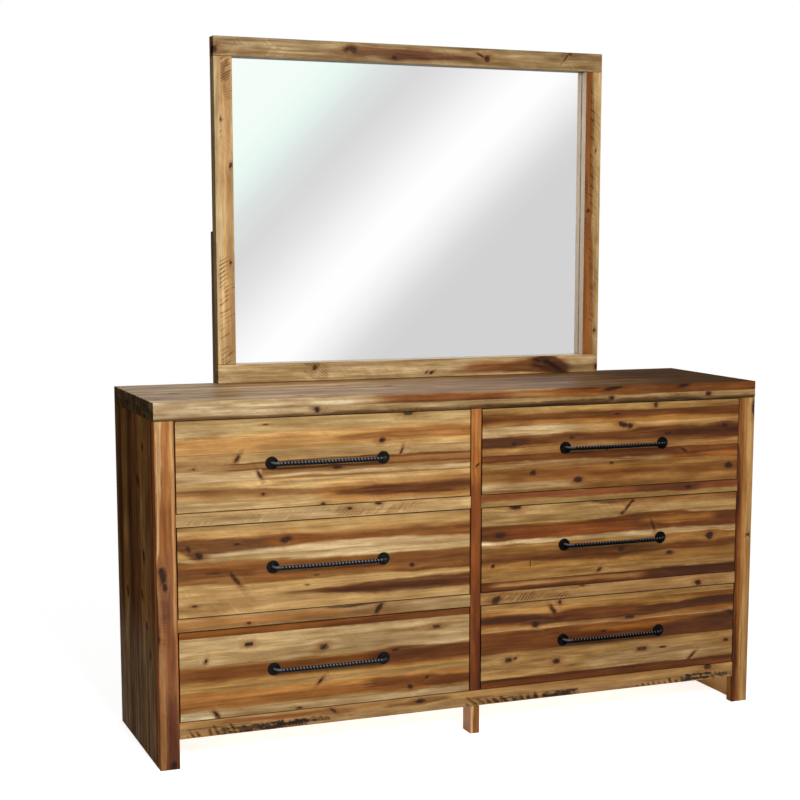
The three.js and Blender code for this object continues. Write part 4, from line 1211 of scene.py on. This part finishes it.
# What polished surfaces see: in front of the dresser, soft slanted bands, as the mirror shows them, and behind it a dim
# room with a pale patch behind the left end. Each band's place is how far the ray reaches along the slant.
FRONT_SLANT, FRONT_STRENGTH = (1, 0, -0.9), 1.02
BACK_SLANT, BACK_STRENGTH = (1, 0, 0.4), 1.6
FRONT_BANDS = [(0.12, (254, 254, 254)), (0.2, (243, 253, 247)), (0.22, (243, 253, 247)), (0.241, (234, 248, 242)),
               (0.262, (220, 227, 225)), (0.283, (216, 216, 216)), (0.304, (228, 226, 228)), (0.325, (244, 243, 243)),
               (0.345, (254, 254, 254)), (0.362, (254, 254, 254)), (0.38, (239, 239, 239)), (0.4, (217, 217, 217)),
               (0.416, (210, 210, 210))]
BACK_BANDS = [(0.0, (40, 40, 40)), (0.12, (130, 130, 130)), (0.22, (240, 240, 240)), (0.34, (240, 240, 240)),
              (0.46, (70, 70, 70)), (0.6, (24, 24, 24))]


def stage_floor():
    """A pale floor that shows white to the camera and to mirrors, but keeps the shadow."""
    mesh = bpy.data.meshes.new("floor")
    mesh.from_pydata([(x, y, -FLOOR_DROP) for x, y in FLOOR_CORNERS], [], [(0, 1, 2, 3)])
    floor = placed("floor", mesh)
    g = Graph(bpy.data.materials.new("pale_floor"), "ShaderNodeOutputMaterial")
    ray = g.node("ShaderNodeLightPath")
    glow = g.math("MULTIPLY", g.math("MAXIMUM", ray["Is Camera Ray"], ray["Is Glossy Ray"]), FLOOR_GLOW)
    diffuse = g.node("ShaderNodeBsdfDiffuse", Color=FLOOR_COLOUR)[0]
    g.set(Surface=g.node("ShaderNodeAddShader", diffuse, g.node("ShaderNodeEmission", Strength=glow)[0])[0])
    mesh.materials.append(g.owner)


def surroundings():
    """The world: white to the camera, a plain level to the wood, and soft bands to whatever mirrors it."""
    world = bpy.data.worlds.new("studio")
    bpy.context.scene.world = world
    g = Graph(world, "ShaderNodeOutputWorld")
    ray = g.node("ShaderNodeLightPath")
    direction = g.node("ShaderNodeTexCoord")["Generated"]

    def background(colour, strength):
        return g.node("ShaderNodeBackground", Color=colour, Strength=strength)[0]

    def mix(factor, first, second):
        return g.node("ShaderNodeMixShader", factor, first, second)[0]

    ahead = background(g.ramp(g.along(direction, FRONT_SLANT), FRONT_BANDS), FRONT_STRENGTH)
    behind = background(g.ramp(g.along(direction, BACK_SLANT), BACK_BANDS), BACK_STRENGTH)
    mirrored = mix(g.along(direction, (0, 1, 0), scale=3.0, offset=0.5), ahead, behind)
    seen = mix(ray["Is Camera Ray"], background(WHITE, AMBIENT), background(WHITE, 1.0))
    g.set(Surface=mix(ray["Is Glossy Ray"], seen, mirrored))


def aim(thing, place, right, up, back):
    """Stands a lamp or camera at a place with its own axes along three directions."""
    thing.matrix_world = Matrix.Translation(place) @ Matrix((right, up, back)).transposed().to_4x4()


def area_light(name, place, target, size, power):
    """A rectangular lamp that looks at a target."""
    data = bpy.data.lights.new(name, "AREA")
    data.shape = "RECTANGLE"
    data.size, data.size_y = size
    data.energy = power
    forward = np.array(target) - np.array(place)
    forward = forward / np.linalg.norm(forward)
    right = np.cross(forward, [0, 0, 1])
    right /= np.linalg.norm(right)
    lamp = placed(name, data)
    aim(lamp, place, right, np.cross(right, forward), -forward)
    return lamp


def photo_camera():
    """The camera that took the photograph, fitted to the object's corners. Pixels are of an 800 x 800 picture."""
    frame_width, sensor = 800.0, 36.0
    focal, centre_x, centre_y = 1668.9, 451.87, 466.41
    yaw, pitch, roll = 0.39607, 0.14228, -0.00391
    from_corner = np.array([-872.19, -3941.86, 1333.37])  # mm from the case's lower front left corner
    place = from_corner + np.array([CASE_LOW[X], CASE_LOW[Y], 0])
    forward = np.array([math.sin(yaw) * math.cos(pitch), math.cos(yaw) * math.cos(pitch), -math.sin(pitch)])
    level = np.array([math.cos(yaw), -math.sin(yaw), 0.0])
    down = np.cross(forward, level)
    right = math.cos(roll) * level + math.sin(roll) * down
    down = -math.sin(roll) * level + math.cos(roll) * down
    data = bpy.data.cameras.new("photo_camera")
    data.sensor_width = sensor
    data.lens = focal * sensor / frame_width
    data.shift_x = (frame_width / 2 - centre_x) / frame_width
    data.shift_y = (centre_y - frame_width / 2) / frame_width
    data.clip_end = CLIP_END
    camera = placed("photo_camera", data)
    aim(camera, place * MM, right, -down, -forward)
    bpy.context.scene.camera = camera


stage_floor()
surroundings()
area_light("key", place=(-0.45, -4.2, 2.7), target=(-0.1, 0, 0.8), size=(0.8, 1.4), power=140)
# Light that a white floor throws back up under the case
under_case = area_light("under_case", place=(0, 0, 0.004), target=(0, 0.01, 1), size=(1.5, 0.34), power=1.5)
under_case.visible_camera = False
photo_camera()
bpy.context.scene.view_settings.view_transform = "Standard"
